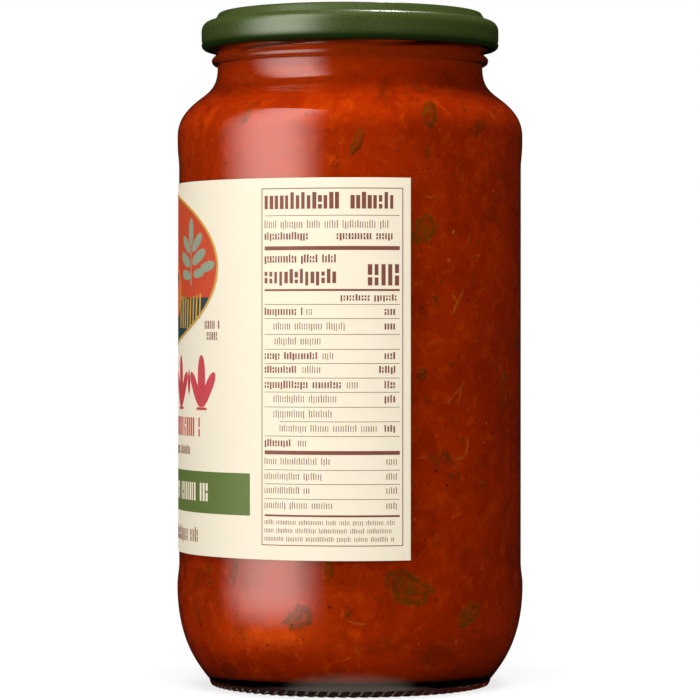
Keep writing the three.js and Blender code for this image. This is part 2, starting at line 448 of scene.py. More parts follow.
# Finishes

class Nodes:
    """Adds nodes to a tree and links them."""

    def __init__(self, tree):
        self.tree = tree

    def node(self, kind, **values):
        made = self.tree.nodes.new(kind)
        for key, value in values.items():
            setattr(made, key, value)
        return made

    def link(self, source, target):
        self.tree.links.new(source, target)

    def give(self, socket, value):
        """Sets a socket to a number or a colour, or links another node's output to it."""
        if hasattr(value, "links"):
            self.link(value, socket)
        elif isinstance(value, (int, float)):
            socket.default_value = value
        else:
            socket.default_value = (*value, 1.0)

    def split(self, place):
        made = self.node('ShaderNodeSeparateXYZ')
        self.link(place, made.inputs['Vector'])
        return made.outputs

    def ranged(self, value, low, high, to_low=0.0, to_high=1.0, smooth_step=True):
        made = self.node('ShaderNodeMapRange')
        made.interpolation_type = 'SMOOTHSTEP' if smooth_step else 'LINEAR'
        for socket, number in (('From Min', low), ('From Max', high),
                               ('To Min', to_low), ('To Max', to_high)):
            made.inputs[socket].default_value = number
        self.link(value, made.inputs['Value'])
        return made.outputs['Result']

    def math(self, operation, first, second):
        made = self.node('ShaderNodeMath', operation=operation)
        for socket, value in zip(made.inputs, (first, second)):
            self.give(socket, value)
        return made.outputs['Value']

    def blend(self, share, first, second):
        """Mixes two shaders."""
        made = self.node('ShaderNodeMixShader')
        for socket, source in zip(made.inputs, (share, first, second)):
            self.link(source, socket)
        return made.outputs['Shader']


class Finish(Nodes):
    """A material under construction."""

    def __init__(self, name):
        self.material = bpy.data.materials.new(name)
        self.material.use_nodes = True
        super().__init__(self.material.node_tree)
        self.shader = self.tree.nodes["Principled BSDF"]
        self.place = self.node('ShaderNodeTexCoord').outputs['Object']

    def noise(self, scale, detail=3.0, roughness=0.5, stretch=None, distortion=0.0):
        """Noise on the object, with features of about 1 / scale metres."""
        made = self.node('ShaderNodeTexNoise')
        for socket, number in (('Scale', scale), ('Detail', detail), ('Roughness', roughness),
                               ('Distortion', distortion)):
            made.inputs[socket].default_value = number
        place = self.place
        if stretch:
            mapping = self.node('ShaderNodeMapping')
            mapping.inputs['Scale'].default_value = stretch
            self.link(place, mapping.inputs['Vector'])
            place = mapping.outputs['Vector']
        self.link(place, made.inputs['Vector'])
        return made.outputs['Fac']

    def height(self):
        """Height above the table, in metres."""
        return self.split(self.place)['Z']

    def cells(self, scale):
        made = self.node('ShaderNodeTexVoronoi')
        made.inputs['Scale'].default_value = scale
        self.link(self.place, made.inputs['Vector'])
        return made

    def attribute(self, name):
        return self.node('ShaderNodeAttribute', attribute_name=name).outputs['Fac']

    def mix(self, share, first, second):
        """Mixes two colours; each is a colour or another node's output."""
        made = self.node('ShaderNodeMix', data_type='RGBA')
        for index, value in ((0, share), (6, first), (7, second)):
            self.give(made.inputs[index], value)
        return made.outputs[2]

    def bump(self, height, strength, distance):
        made = self.node('ShaderNodeBump')
        made.inputs['Strength'].default_value = strength
        made.inputs['Distance'].default_value = distance
        self.link(height, made.inputs['Height'])
        self.link(made.outputs['Normal'], self.shader.inputs['Normal'])

    def colour(self, value):
        self.give(self.shader.inputs['Base Color'], value)

    def surface(self, roughness=0.5, specular=0.5, metallic=0.0, tint=(1.0, 1.0, 1.0)):
        for socket, value in (('Roughness', roughness), ('Specular IOR Level', specular),
                              ('Metallic', metallic), ('Specular Tint', tint)):
            self.give(self.shader.inputs[socket], value)

    def show(self, shader):
        """Puts another shader in the place of the finish's own."""
        self.link(shader, self.tree.nodes["Material Output"].inputs['Surface'])


def glass_finish():
    """Clear glass that lets light through to what it holds."""
    finish = Finish("clear_glass")
    finish.colour(colours().glass)
    finish.surface(roughness=0.008)
    finish.shader.inputs['IOR'].default_value = GLASS_INDEX
    finish.shader.inputs['Transmission Weight'].default_value = 1.0
    finish.bump(finish.noise(24.0, detail=1.0), 0.1, 0.0012)
    clear = finish.node('ShaderNodeBsdfTransparent')
    clear.inputs['Color'].default_value = (0.93, 0.96, 0.94, 1.0)
    in_shadow = finish.node('ShaderNodeLightPath').outputs['Is Shadow Ray']
    finish.show(finish.blend(in_shadow, finish.shader.outputs['BSDF'], clear.outputs['BSDF']))
    return finish.material


WET_TINT = (1.0, 0.15, 0.01)      # the wet sheen of pulp seen through red juice
DEEP_BROWN = (0.095, 0.013, 0.0008)
PALE_DOTS = (0.42, 0.08, 0.003)
LEAF_CELLS = (0.012, 0.008, 0.002)
MIDRIB = (0.2, 0.065, 0.004)


def sauce_colour(finish):
    """The sauce's colour: cloudy patches, pulp and a fine grain."""
    hue = colours()
    cloud = finish.noise(70.0, detail=5.0, roughness=0.62, distortion=0.7)
    pulp = finish.noise(280.0, detail=4.0, roughness=0.7, distortion=0.5)
    grain = finish.noise(1700.0, detail=2.0)
    base = finish.mix(finish.ranged(cloud, 0.34, 0.64), hue.sauce_dark, hue.sauce)
    base = finish.mix(finish.ranged(pulp, 0.48, 0.7, 0.0, 0.75), base, hue.sauce_light)
    base = finish.mix(finish.ranged(grain, 0.35, 0.65, 0.0, 0.4), base, hue.sauce_dark)
    deep = finish.noise(62.0, detail=5.0, roughness=0.6, distortion=1.4)
    base = finish.mix(finish.ranged(deep, 0.56, 0.72, 0.0, 0.5), base, DEEP_BROWN)
    dot = finish.cells(520.0)
    few = finish.ranged(dot.outputs['Color'], 0.55, 0.75)
    dot = finish.math('MULTIPLY', finish.ranged(dot.outputs['Distance'], 0.16, 0.05), few)
    return finish.mix(finish.math('MULTIPLY', dot, 0.55), base, PALE_DOTS)


def sauce_finish():
    finish = Finish("tomato_sauce")
    finish.colour(sauce_colour(finish))
    finish.surface(roughness=finish.ranged(finish.noise(300.0), 0.3, 0.7, 0.27, 0.34),
                   specular=finish.ranged(finish.height(), 0.008, 0.013, 0.0, 0.9), tint=WET_TINT)
    finish.bump(finish.noise(700.0, detail=4.0, roughness=0.6), 0.3, 0.0003)
    return finish.material


def film_finish():
    finish = Finish("sauce_film")
    streaks = finish.noise(110.0, detail=4.0, stretch=(1.0, 1.0, 5.0), distortion=0.8)
    thick = finish.ranged(finish.height(), 0.1618, 0.1675, 1.0, 0.4)
    thick = finish.math('MULTIPLY', thick, finish.ranged(streaks, 0.3, 0.7, 0.55, 1.0))
    finish.colour(finish.mix(thick, colours().film, colours().sauce))
    finish.surface(roughness=0.4, specular=0.4, tint=WET_TINT)
    finish.bump(streaks, 0.2, 0.0003)
    return finish.material


def sunk_finish(name, colour_for, bump_scale=900.0, most=0.92):
    """Finish of a piece sunk in the sauce: its own colour, fading to the sauce at its edge."""
    finish = Finish(name)
    own = colour_for(finish)
    uneven = finish.noise(430.0, detail=4.0, roughness=0.65)
    veil = finish.ranged(uneven, 0.3, 0.7, -0.42, 0.42, smooth_step=False)
    cover = finish.ranged(finish.math('ADD', finish.attribute("cover"), veil), 0.05, 0.95, 0.0, most)
    finish.colour(finish.mix(cover, sauce_colour(finish), own))
    finish.surface(roughness=0.35, specular=finish.ranged(cover, 0.0, 0.9, 0.9, 0.25), tint=WET_TINT)
    finish.bump(finish.noise(bump_scale, detail=3.0), 0.25, 0.0002)
    return finish.material


def leaf_colour(finish):
    hue = colours()
    tone = finish.attribute("tone")
    patch = finish.noise(380.0, detail=3.0, roughness=0.6)
    ragged = finish.ranged(finish.math('ADD', patch, finish.math('MULTIPLY', tone, 0.5)), 0.45, 0.95)
    base = finish.mix(ragged, hue.leaf_brown, hue.leaf_green)
    cells = finish.cells(1300.0).outputs['Distance']
    base = finish.mix(finish.ranged(cells, 0.1, 0.6, 0.35, 0.0), base, LEAF_CELLS)
    return finish.mix(finish.attribute("vein"), base, MIDRIB)


def tomato_colour(finish):
    patch = finish.noise(420.0, detail=3.0)
    return finish.mix(finish.ranged(patch, 0.35, 0.7), colours().tomato, (0.3, 0.022, 0.0006))


def shred_colour(finish):
    patch = finish.noise(900.0, detail=2.0)
    return finish.mix(finish.ranged(patch, 0.35, 0.75), colours().shred, (0.31, 0.045, 0.002))


def seed_colour(finish):
    patch = finish.noise(1600.0, detail=2.0)
    return finish.mix(finish.ranged(patch, 0.3, 0.8), colours().seed, (0.34, 0.055, 0.003))


def fleck_colour(finish):
    return finish.mix(finish.attribute("tone"), (0.02, 0.005, 0.001), (0.13, 0.04, 0.002))


def lid_finish():
    """Green lacquer, with painted shade on the rolled edge under the skirt: darker colour and less specular
    there.
    """
    finish = Finish("green_lacquer")
    fine = finish.noise(2600.0, detail=2.0)
    slow = finish.noise(90.0, detail=2.0)
    lacquer = colours().lid
    # Painted shade: below this height the rolled edge takes a dark green and loses its specular, standing in
    # for the shade under the skirt.
    above_curl = finish.ranged(finish.height(), 0.1698, 0.1714)
    green = finish.mix(finish.ranged(slow, 0.3, 0.7, 0.0, 0.25), lacquer, [c * 0.75 for c in lacquer])
    painted_shade_green = (0.012, 0.024, 0.004)
    finish.colour(finish.mix(above_curl, painted_shade_green, green))
    finish.surface(roughness=finish.ranged(fine, 0.3, 0.7, 0.25, 0.33), metallic=0.1,
                   specular=finish.math('MULTIPLY', above_curl, 0.75), tint=(1.0, 1.0, 0.93))
    finish.bump(fine, 0.12, 0.0002)
    return finish.material


def paper_finish():
    finish = Finish("cream_paper")
    fibre = finish.noise(1800.0, detail=3.0)
    cloud = finish.noise(120.0, detail=2.0)
    paper = colours().paper
    shade = finish.mix(finish.ranged(cloud, 0.3, 0.7, 0.0, 0.3), paper, [c * 0.965 for c in paper])
    finish.colour(finish.mix(finish.ranged(fibre, 0.35, 0.65, 0.0, 0.2), shade, [c * 0.94 for c in paper]))
    finish.surface(roughness=0.72, specular=0.25)
    finish.bump(fibre, 0.18, 0.00012)
    return finish.material


def ink_finish(name, ink, mottle=0.05):
    """Printed ink, a little uneven where the paper's grain shows through."""
    finish = Finish(name)
    grain = finish.noise(2400.0, detail=3.0)
    finish.colour(finish.mix(finish.ranged(grain, 0.45, 0.8, 0.0, mottle), ink, colours().paper))
    finish.surface(roughness=0.5, specular=0.25)
    finish.bump(grain, 0.12, 0.0001)
    return finish.material


# Glass, sauce and lid

class SAUCEJAR_OT_glass(bpy.types.Operator):
    """Turn the glass jar, then press its threads and its knurl"""
    bl_idname = "sauce_jar.glass"
    bl_label = "Glass jar"
    threads_low = 166.5        # the stretch of the neck that may carry threads
    threads_high = 175.4
    lowest_tooth = 0.02        # keeps the teeth above the table

    def execute(self, context):
        jar = turned("glass_jar", glass_outline(), ROUND_STEPS)
        self.cut_band(jar)
        for vertex in jar.data.vertices:
            radius = math.hypot(vertex.co.x, vertex.co.y) / MM
            height = vertex.co.z / MM
            angle = math.atan2(vertex.co.x, -vertex.co.y)
            if self.threads_low < height < self.threads_high and radius > NECK:
                out = self.thread_height(angle, height) * sizes().thread_depth
                vertex.co.x += math.sin(angle) * out
                vertex.co.y -= math.cos(angle) * out
            if height < KNURL_TOP and radius > KNURL_INNER:
                depth = self.tooth_height(angle, radius) * sizes().tooth_depth
                vertex.co.x += math.sin(angle) * depth * KNURL_OUT
                vertex.co.y -= math.cos(angle) * depth * KNURL_OUT
                vertex.co.z = max(vertex.co.z - depth * KNURL_DOWN, self.lowest_tooth * MM)
        smooth(jar, 50.0)
        finish_piece(jar, glass_finish(), "glass", "jar_glass")
        return {'FINISHED'}

    def cut_band(self, jar):
        """Gives the knurled band twice as many faces round."""
        make_active(jar)
        for vertex in jar.data.vertices:
            vertex.select = False
        for face in jar.data.polygons:
            radius = math.hypot(face.center.x, face.center.y) / MM
            face.select = face.center.z < (KNURL_TOP - 0.3) * MM and radius > KNURL_INNER + 0.05
            if face.select:
                for index in face.vertices:
                    jar.data.vertices[index].select = True
        bpy.ops.object.mode_set(mode='EDIT')
        bpy.ops.mesh.select_mode(type='FACE')
        bpy.ops.mesh.subdivide(number_cuts=1)
        bpy.ops.object.mode_set(mode='OBJECT')

    def thread_height(self, angle, height):
        """Share of the thread's full height at a spot of the neck."""
        fade = 0.12            # how soon a thread comes up from its end, in spans
        turn = (math.degrees(angle) - THREAD_START) % THREAD_SPAN / THREAD_SPAN
        middle = THREAD_FOOT + THREAD_RISE * turn * THREAD_LENGTH
        tallest = 0.0
        for part, centre in ((turn, middle), (turn + 1.0, middle + THREAD_RISE * THREAD_LENGTH)):
            ends = min(1.0, part / fade, (THREAD_LENGTH - part) / fade)
            if ends > 0.0:
                tallest = max(tallest, ends * max(0.0, 1.0 - (abs(height - centre) / THREAD_HALF) ** 2))
        return tallest

    def tooth_height(self, angle, radius):
        """Share of a tooth's full height at a spot of the heel."""
        across = (radius - KNURL_INNER) / KNURL_WIDTH
        turn = angle * TEETH / (2.0 * math.pi) - across * KNURL_SLANT
        crest = 0.5 + 0.5 * math.cos(2.0 * math.pi * turn)
        ends = max(0.0, math.sin(math.pi * min(max(across, 0.0), 1.0)))
        return min(1.0, crest * 1.6) ** 1.5 * ends ** 0.6


class SAUCEJAR_OT_sauce(bpy.types.Operator):
    """Fill the jar with sauce up to its level, with a film inside the neck"""
    bl_idname = "sauce_jar.sauce"
    bl_label = "Sauce"

    def execute(self, context):
        level = sizes().sauce_level / MM
        self.fill(level)
        self.film(level, sizes().film_top / MM)
        return {'FINISHED'}

    def fill(self, level):
        """The sauce, with an uneven top."""
        points = sauce_wall()
        top = Outline(*points[-1])
        top.corner((32.0, level - 0.35), (30.5, level - 0.45), 3)
        top.line(0.0, level - 0.5, 14)
        sauce = turned("sauce_fill", points + top.points[1:], steps=240)
        for vertex in sauce.data.vertices:
            radius = math.hypot(vertex.co.x, vertex.co.y) / MM
            if vertex.co.z / MM > level - 0.6 and radius < 31.0:
                vertex.co.z += noise.noise(vertex.co * 160.0) * 0.0009
        smooth(sauce, 60.0)
        finish_piece(sauce, sauce_finish(), "sauce", "sauce")

    def film(self, level, top):
        """A thin ring of sauce on the glass above its level, with an uneven upper edge."""
        in_wall, steps = BORE + 0.1, 8
        ring = [(in_wall, level - 0.3)]
        ring += [(in_wall, level + (top - level) * step / steps) for step in range(1, steps + 1)]
        ring += [(BORE - 0.1, top - 0.1), (BORE - 0.14, level + 2.0), (BORE - 0.3, level - 0.2)]
        film = turned("sauce_film", ring, steps=180, ring=True)
        for vertex in film.data.vertices:
            if vertex.co.z / MM > top - 0.5:
                vertex.co.z += noise.noise(vertex.co * 120.0) * 0.0012
        smooth(film, 60.0)
        finish_piece(film, film_finish(), "sauce")


class SAUCEJAR_OT_lid(bpy.types.Operator):
    """Press the twist-off lid, with its rolled edge and lugs"""
    bl_idname = "sauce_jar.lid"
    bl_label = "Lid"

    def execute(self, context):
        under, panel, rim = 177.33, 177.75, 178.6
        shell = Outline(0.0, under)
        shell.line(32.1, under, 6)
        shell.line(32.4, 176.62)
        shell.line(35.6, 176.62, 2)
        shell.line(36.3, 175.95)
        shell.line(36.9, 175.93)
        shell.corner((39.17, 175.93), (39.17, 173.7), 8)
        shell.line(39.17, 170.71, 2)
        shell.corner((37.62, 170.71), (37.62, 169.16), 6)
        shell.corner((37.62, 168.66), (38.0, 168.66), 4)
        shell.bend((38.95, 168.66), (39.59, 169.26), (39.59, 170.11), 8)
        shell.line(39.4, 170.6)
        shell.line(39.56, 171.2)
        shell.line(39.59, 173.6, 4)
        shell.bend((39.59, 175.3), (38.5, 176.38), (36.95, 176.38), 10)
        shell.corner((36.45, 176.38), (36.35, 176.2), 3)
        shell.line(35.15, 178.25, 4)
        shell.corner((34.95, rim), (34.5, rim), 4)
        shell.line(34.1, rim)
        shell.corner((33.6, rim), (33.4, panel), 4)
        shell.line(32.8, panel)
        shell.line(12.5, panel, 8)
        shell.corner((12.0, panel), (11.3, 178.1), 4)
        shell.corner((10.7, 178.1), (9.8, 178.08), 3)
        shell.line(0.0, 177.925, 4)
        lid = turned("lid_shell", shell.points, steps=240)

        start_clean()
        bpy.ops.mesh.primitive_cube_add(size=1.0)
        lug = bpy.context.object
        size = Matrix.Diagonal((0.0023, 0.007, 0.0004, 1.0))
        lug.data.transform(Matrix.Translation((0.0371, 0.0, 0.16886)) @ size)
        applied(lug, 'BEVEL', width=0.00012, segments=2)
        lugs = [copied(lug) for _ in range(THREADS)]
        for index, twin in enumerate(lugs):
            angle = LUG_ANGLE + THREAD_SPAN * index
            twin.data.transform(Matrix.Rotation(math.radians(angle), 4, 'Z'))
        thrown_away(lug)
        lid = joined("lid_cap", [lid] + lugs)
        smooth(lid, 40.0)
        finish_piece(lid, lid_finish(), "lid", "lid")
        return {'FINISHED'}


# Herbs, tomato and seeds in the sauce

LEAF_CORNERS = 30          # points round a leaf
TOMATO_CORNERS = 16
WHOLE_TURN = 6.28          # in radians, for random turns
HALF_TURN = 3.14


def marked(piece, name, values):
    """Writes one number for each vertex of the piece."""
    layer = piece.data.attributes.new(name, 'FLOAT', 'POINT')
    layer.data.foreach_set("value", values)


def ragged_disc(draw, length, width, rings, corners, pointed):
    """A flat leaf-like disc in millimetres about the origin, with inset rings."""
    ragged = 0.2
    start_clean()
    bpy.ops.mesh.primitive_circle_add(vertices=corners, radius=1.0, fill_type='NGON')
    disc = bpy.context.object
    wave = [draw.uniform(0.0, WHOLE_TURN) for _ in range(4)]
    for vertex in disc.data.vertices:
        turn = math.atan2(vertex.co.y, vertex.co.x)
        wobble = 1.0 + ragged * (
            math.sin(3 * turn + wave[0]) * 0.5 + math.sin(5 * turn + wave[1]) * 0.4
            + math.sin(8 * turn + wave[2]) * 0.4 + math.sin(2 * turn + wave[3]) * 0.5)
        narrow = abs(math.sin(turn)) ** pointed
        vertex.co = (math.cos(turn) * length / 2 * wobble * MM,
                     math.copysign(narrow, math.sin(turn)) * width / 2 * wobble * MM, 0.0)
    bpy.ops.object.mode_set(mode='EDIT')
    bpy.ops.mesh.select_all(action='SELECT')
    for _ in range(rings):
        bpy.ops.mesh.inset(thickness=width * 0.3 / rings * MM, depth=0.0, use_even_offset=False)
    bpy.ops.mesh.poke()
    bpy.ops.object.mode_set(mode='OBJECT')
    return disc


def disc_marks(disc, corners, rings, tone, vein_share, shown=1.0):
    """Marks how much of each vertex of a disc shows through the sauce, its tone, and its midrib."""
    ring_cover = (0.0, 0.4, 0.75, 1.0)
    half_midrib = 0.18 * MM
    cover, vein = [], []
    for index, vertex in enumerate(disc.data.vertices):
        ring = min(index // corners, rings)
        cover.append(shown * ring_cover[ring] if index < corners * (rings + 1) else shown)
        vein.append(vein_share if abs(vertex.co.y) < half_midrib and ring > 0 else 0.0)
    marked(disc, "cover", cover)
    marked(disc, "tone", [tone] * len(cover))
    marked(disc, "vein", vein)


def ribbon(draw, length, width, curl):
    """A flat curved shred in millimetres about the origin."""
    start_clean()
    bpy.ops.mesh.primitive_grid_add(x_subdivisions=12, y_subdivisions=4, size=1.0)
    shred = bpy.context.object
    waves, swing, sway, blunt = 5.0, 0.25, 0.05, 0.12
    phase = draw.uniform(0.0, WHOLE_TURN)
    flat = [(vertex.co.x, vertex.co.y) for vertex in shred.data.vertices]
    for vertex in shred.data.vertices:
        t = vertex.co.x
        turn = curl * t + swing * math.sin(waves * t + phase)
        narrow = (1.0 - (abs(t) * 2.0) ** 3) ** 0.5 if abs(t) < 0.5 else 0.0
        side = vertex.co.y * width * max(narrow, blunt)
        if abs(curl) > 0.01:
            centre = (math.sin(curl * t) / curl * length,
                      (1.0 - math.cos(curl * t)) / curl * length)
        else:
            centre = (t * length, 0.0)
        wave = sway * length * math.sin(waves * t + phase)
        vertex.co = ((centre[0] - side * math.sin(turn)) * MM,
                     (centre[1] + wave + side * math.cos(turn)) * MM, 0.0)
    edge_cover, edge_side, edge_end = 0.15, 0.4, 0.45
    cover = [edge_cover if abs(side) > edge_side or abs(end) > edge_end else 1.0 for end, side in flat]
    marked(shred, "cover", cover)
    marked(shred, "tone", [draw.random()] * len(cover))
    marked(shred, "vein", [0.0] * len(cover))
    return shred


# Each spot is the pixel where the photograph shows the piece, then its length and width in millimetres
# and its turn in degrees.
SEEN_LEAVES = (
    (294, 91, 7.8, 3.2, 8), (252, 115, 6.0, 2.6, 60), (192, 156, 3.6, 2.4, 50), (335, 161, 3.8, 2.6, 70),
    (427, 114, 7.4, 5.2, 75), (420, 90, 4.6, 2.8, 100), (407, 100, 4.0, 2.2, 110), (476, 127, 6.6, 4.6, 40),
    (357, 142, 7.2, 3.0, 62), (428, 149, 4.8, 2.2, 78), (425, 229, 9.8, 6.6, 68), (434, 300, 3.0, 2.6, 30),
    (423, 374, 4.0, 3.0, 20), (505, 392, 10.5, 7.0, 80), (447, 466, 11.0, 6.6, -38), (483, 484, 2.4, 1.6, 0),
    (410, 590, 14.5, 8.6, -24), (397, 580, 8.0, 5.0, 30), (469, 615, 8.4, 6.2, 35), (512, 626, 4.4, 3.0, 60),
    (299, 618, 8.2, 6.4, 50), (328, 573, 6.2, 3.0, 70), (234, 575, 6.6, 2.8, 75), (208, 571, 3.0, 2.2, 20),
    (210, 583, 2.4, 1.8, 0), (198, 612, 6.2, 3.0, 88), (347, 615, 3.4, 2.4, 60), (330, 677, 5.0, 2.2, 10),
    (452, 364, 2.6, 1.6, 10), (498, 364, 5.0, 1.6, 75),
)
SEEN_TOMATO = (
    (414, 144, 1.6, 1.2, 0), (342, 143, 1.4, 1.0, 30), (419, 257, 2.0, 1.4, 20), (438, 437, 2.2, 1.6, 70),
    (458, 517, 4.6, 1.4, 15), (437, 539, 3.6, 2.4, 30), (191, 602, 1.8, 1.3, 60), (245, 651, 1.8, 1.2, 0),
    (345, 109, 1.4, 1.0, 0), (188, 136, 1.6, 1.2, 90), (483, 570, 1.8, 1.4, 0), (438, 344, 6.4, 3.2, 12),
    (473, 422, 1.5, 0.8, 60), (248, 671, 1.6, 1.2, 0), (414, 607, 2.4, 1.8, 0),
)
# Length, width, turn and curl.
SEEN_SHREDS = (
    (459, 303, 8.0, 0.9, 62, 0.6), (456, 299, 4.0, 0.8, 120, 0.5), (456, 392, 8.0, 0.7, 50, -0.8),
    (461, 396, 6.0, 0.6, 68, 0.5), (452, 398, 5.5, 0.5, 35, 0.4), (466, 453, 8.6, 1.0, 48, 2.2),
    (431, 197, 3.0, 0.6, 5, 0.9), (482, 291, 3.4, 0.5, 20, 0.4), (463, 178, 3.6, 0.4, 86, 0.2),
    (488, 118, 3.2, 0.6, 85, 0.3), (357, 625, 5.4, 0.6, -12, 1.4), (358, 653, 3.6, 0.5, -50, 0.6),
    (356, 567, 1.8, 0.4, 20, 0.0), (296, 657, 3.2, 0.6, -60, 0.5), (418, 506, 3.0, 0.3, 45, 0.2),
    (469, 240, 3.4, 0.4, 85, 0.3), (458, 474, 6.6, 0.5, -38, 0.3), (347, 660, 2.6, 0.5, 30, 0.3),
)
SEEN_SEEDS = (
    (454, 232), (449, 261), (479, 256), (485, 443), (458, 643), (420, 644), (500, 176), (415, 520),
    (226, 573), (231, 583), (410, 92), (514, 465), (487, 424), (494, 191), (185, 592),
)
SEEN_FLECKS = (
    (438, 306), (426, 328), (491, 339), (484, 363), (509, 355), (415, 350), (496, 282), (432, 243),
    (423, 84), (419, 96), (400, 146), (463, 169), (481, 155), (495, 198), (455, 210), (470, 205),
    (442, 282), (475, 320), (436, 471), (485, 466), (462, 652), (493, 596), (382, 655), (430, 662),
    (211, 659), (347, 608), (373, 676), (404, 640), (266, 645), (232, 640), (505, 520), (448, 560),
)


# How many more lie where the photograph doesn't show them.
MORE_LEAVES = 46
MORE_TOMATO = 60
MORE_SHREDS = 44
MORE_SEEDS = 70
MORE_FLECKS = 320
# Fine flecks in view: beside the label, and above and below it.
FLECKS_BESIDE = 120
FLECKS_ROUND = 60


def open_glass(draw):
    """A random spot where the label leaves the sauce in view and the photograph doesn't show it."""
    lowest, under_label, over_label, highest = 8.0, 33.0, 135.5, 160.0
    gap_start, gap_end = math.radians(23.0), math.radians(147.0)
    view_start, view_end = -1.4, 1.3
    while True:
        angle = math.radians(draw.uniform(-180.0, 180.0))
        height = draw.uniform(lowest, highest)
        in_gap = gap_start < angle < gap_end
        bare = height > over_label or height < under_label
        seen = view_start < angle < view_end
        if (in_gap or bare) and not seen:
            return angle, height


class SAUCEJAR_OT_leaves(bpy.types.Operator):
    """Lay cooked basil leaves against the glass"""
    bl_idname = "sauce_jar.leaves"
    bl_label = "Basil leaves"

    def execute(self, context):
        draw = random.Random(41)
        wall = WallMap(sauce_wall())
        places = []
        for x, y, length, width, turn in SEEN_LEAVES:
            angle, height = seen_at(x, y)
            places.append((angle, height, length, width, math.radians(turn)))
        for _ in range(MORE_LEAVES):
            angle, height = open_glass(draw)
            length = draw.choice((3.0, 4.0, 5.0, 7.0, 9.0, 12.0))
            places.append((angle, height, length, length * draw.uniform(0.4, 0.7),
                           draw.uniform(0.0, HALF_TURN)))
        leaves = []
        for angle, height, length, width, turn in places:
            rings = 2 if length < 5.0 else 3
            leaf = ragged_disc(draw, length, width, rings, LEAF_CORNERS, 0.75)
            tone = draw.random()
            vein = draw.choice((0.0, 0.3, 0.5)) if length > 5.0 else 0.0
            disc_marks(leaf, LEAF_CORNERS, rings, tone, vein, draw.uniform(0.5, 1.0))
            seed = Vector((draw.uniform(0, 50), draw.uniform(0, 50), 0.0))
            half = width / 2

            def lift(x, y):
                middle, wave, fall = 0.13, 0.1, 0.1
                edge = math.hypot(x / (length / 2), y / half)
                wavy = noise.noise(Vector((x, y, 0.0)) * 0.55 + seed)
                return middle + wave * wavy - fall * edge ** 3

            wrapped_on_wall(leaf, wall, angle, height, turn, lift)
            leaves.append(leaf)
        piece = joined("basil_leaves", leaves)
        applied(piece, 'SOLIDIFY', thickness=0.0003, offset=-1.0)
        smooth(piece, 60.0)
        finish_piece(piece, sunk_finish("cooked_basil", leaf_colour, most=0.86), "sauce")
        return {'FINISHED'}


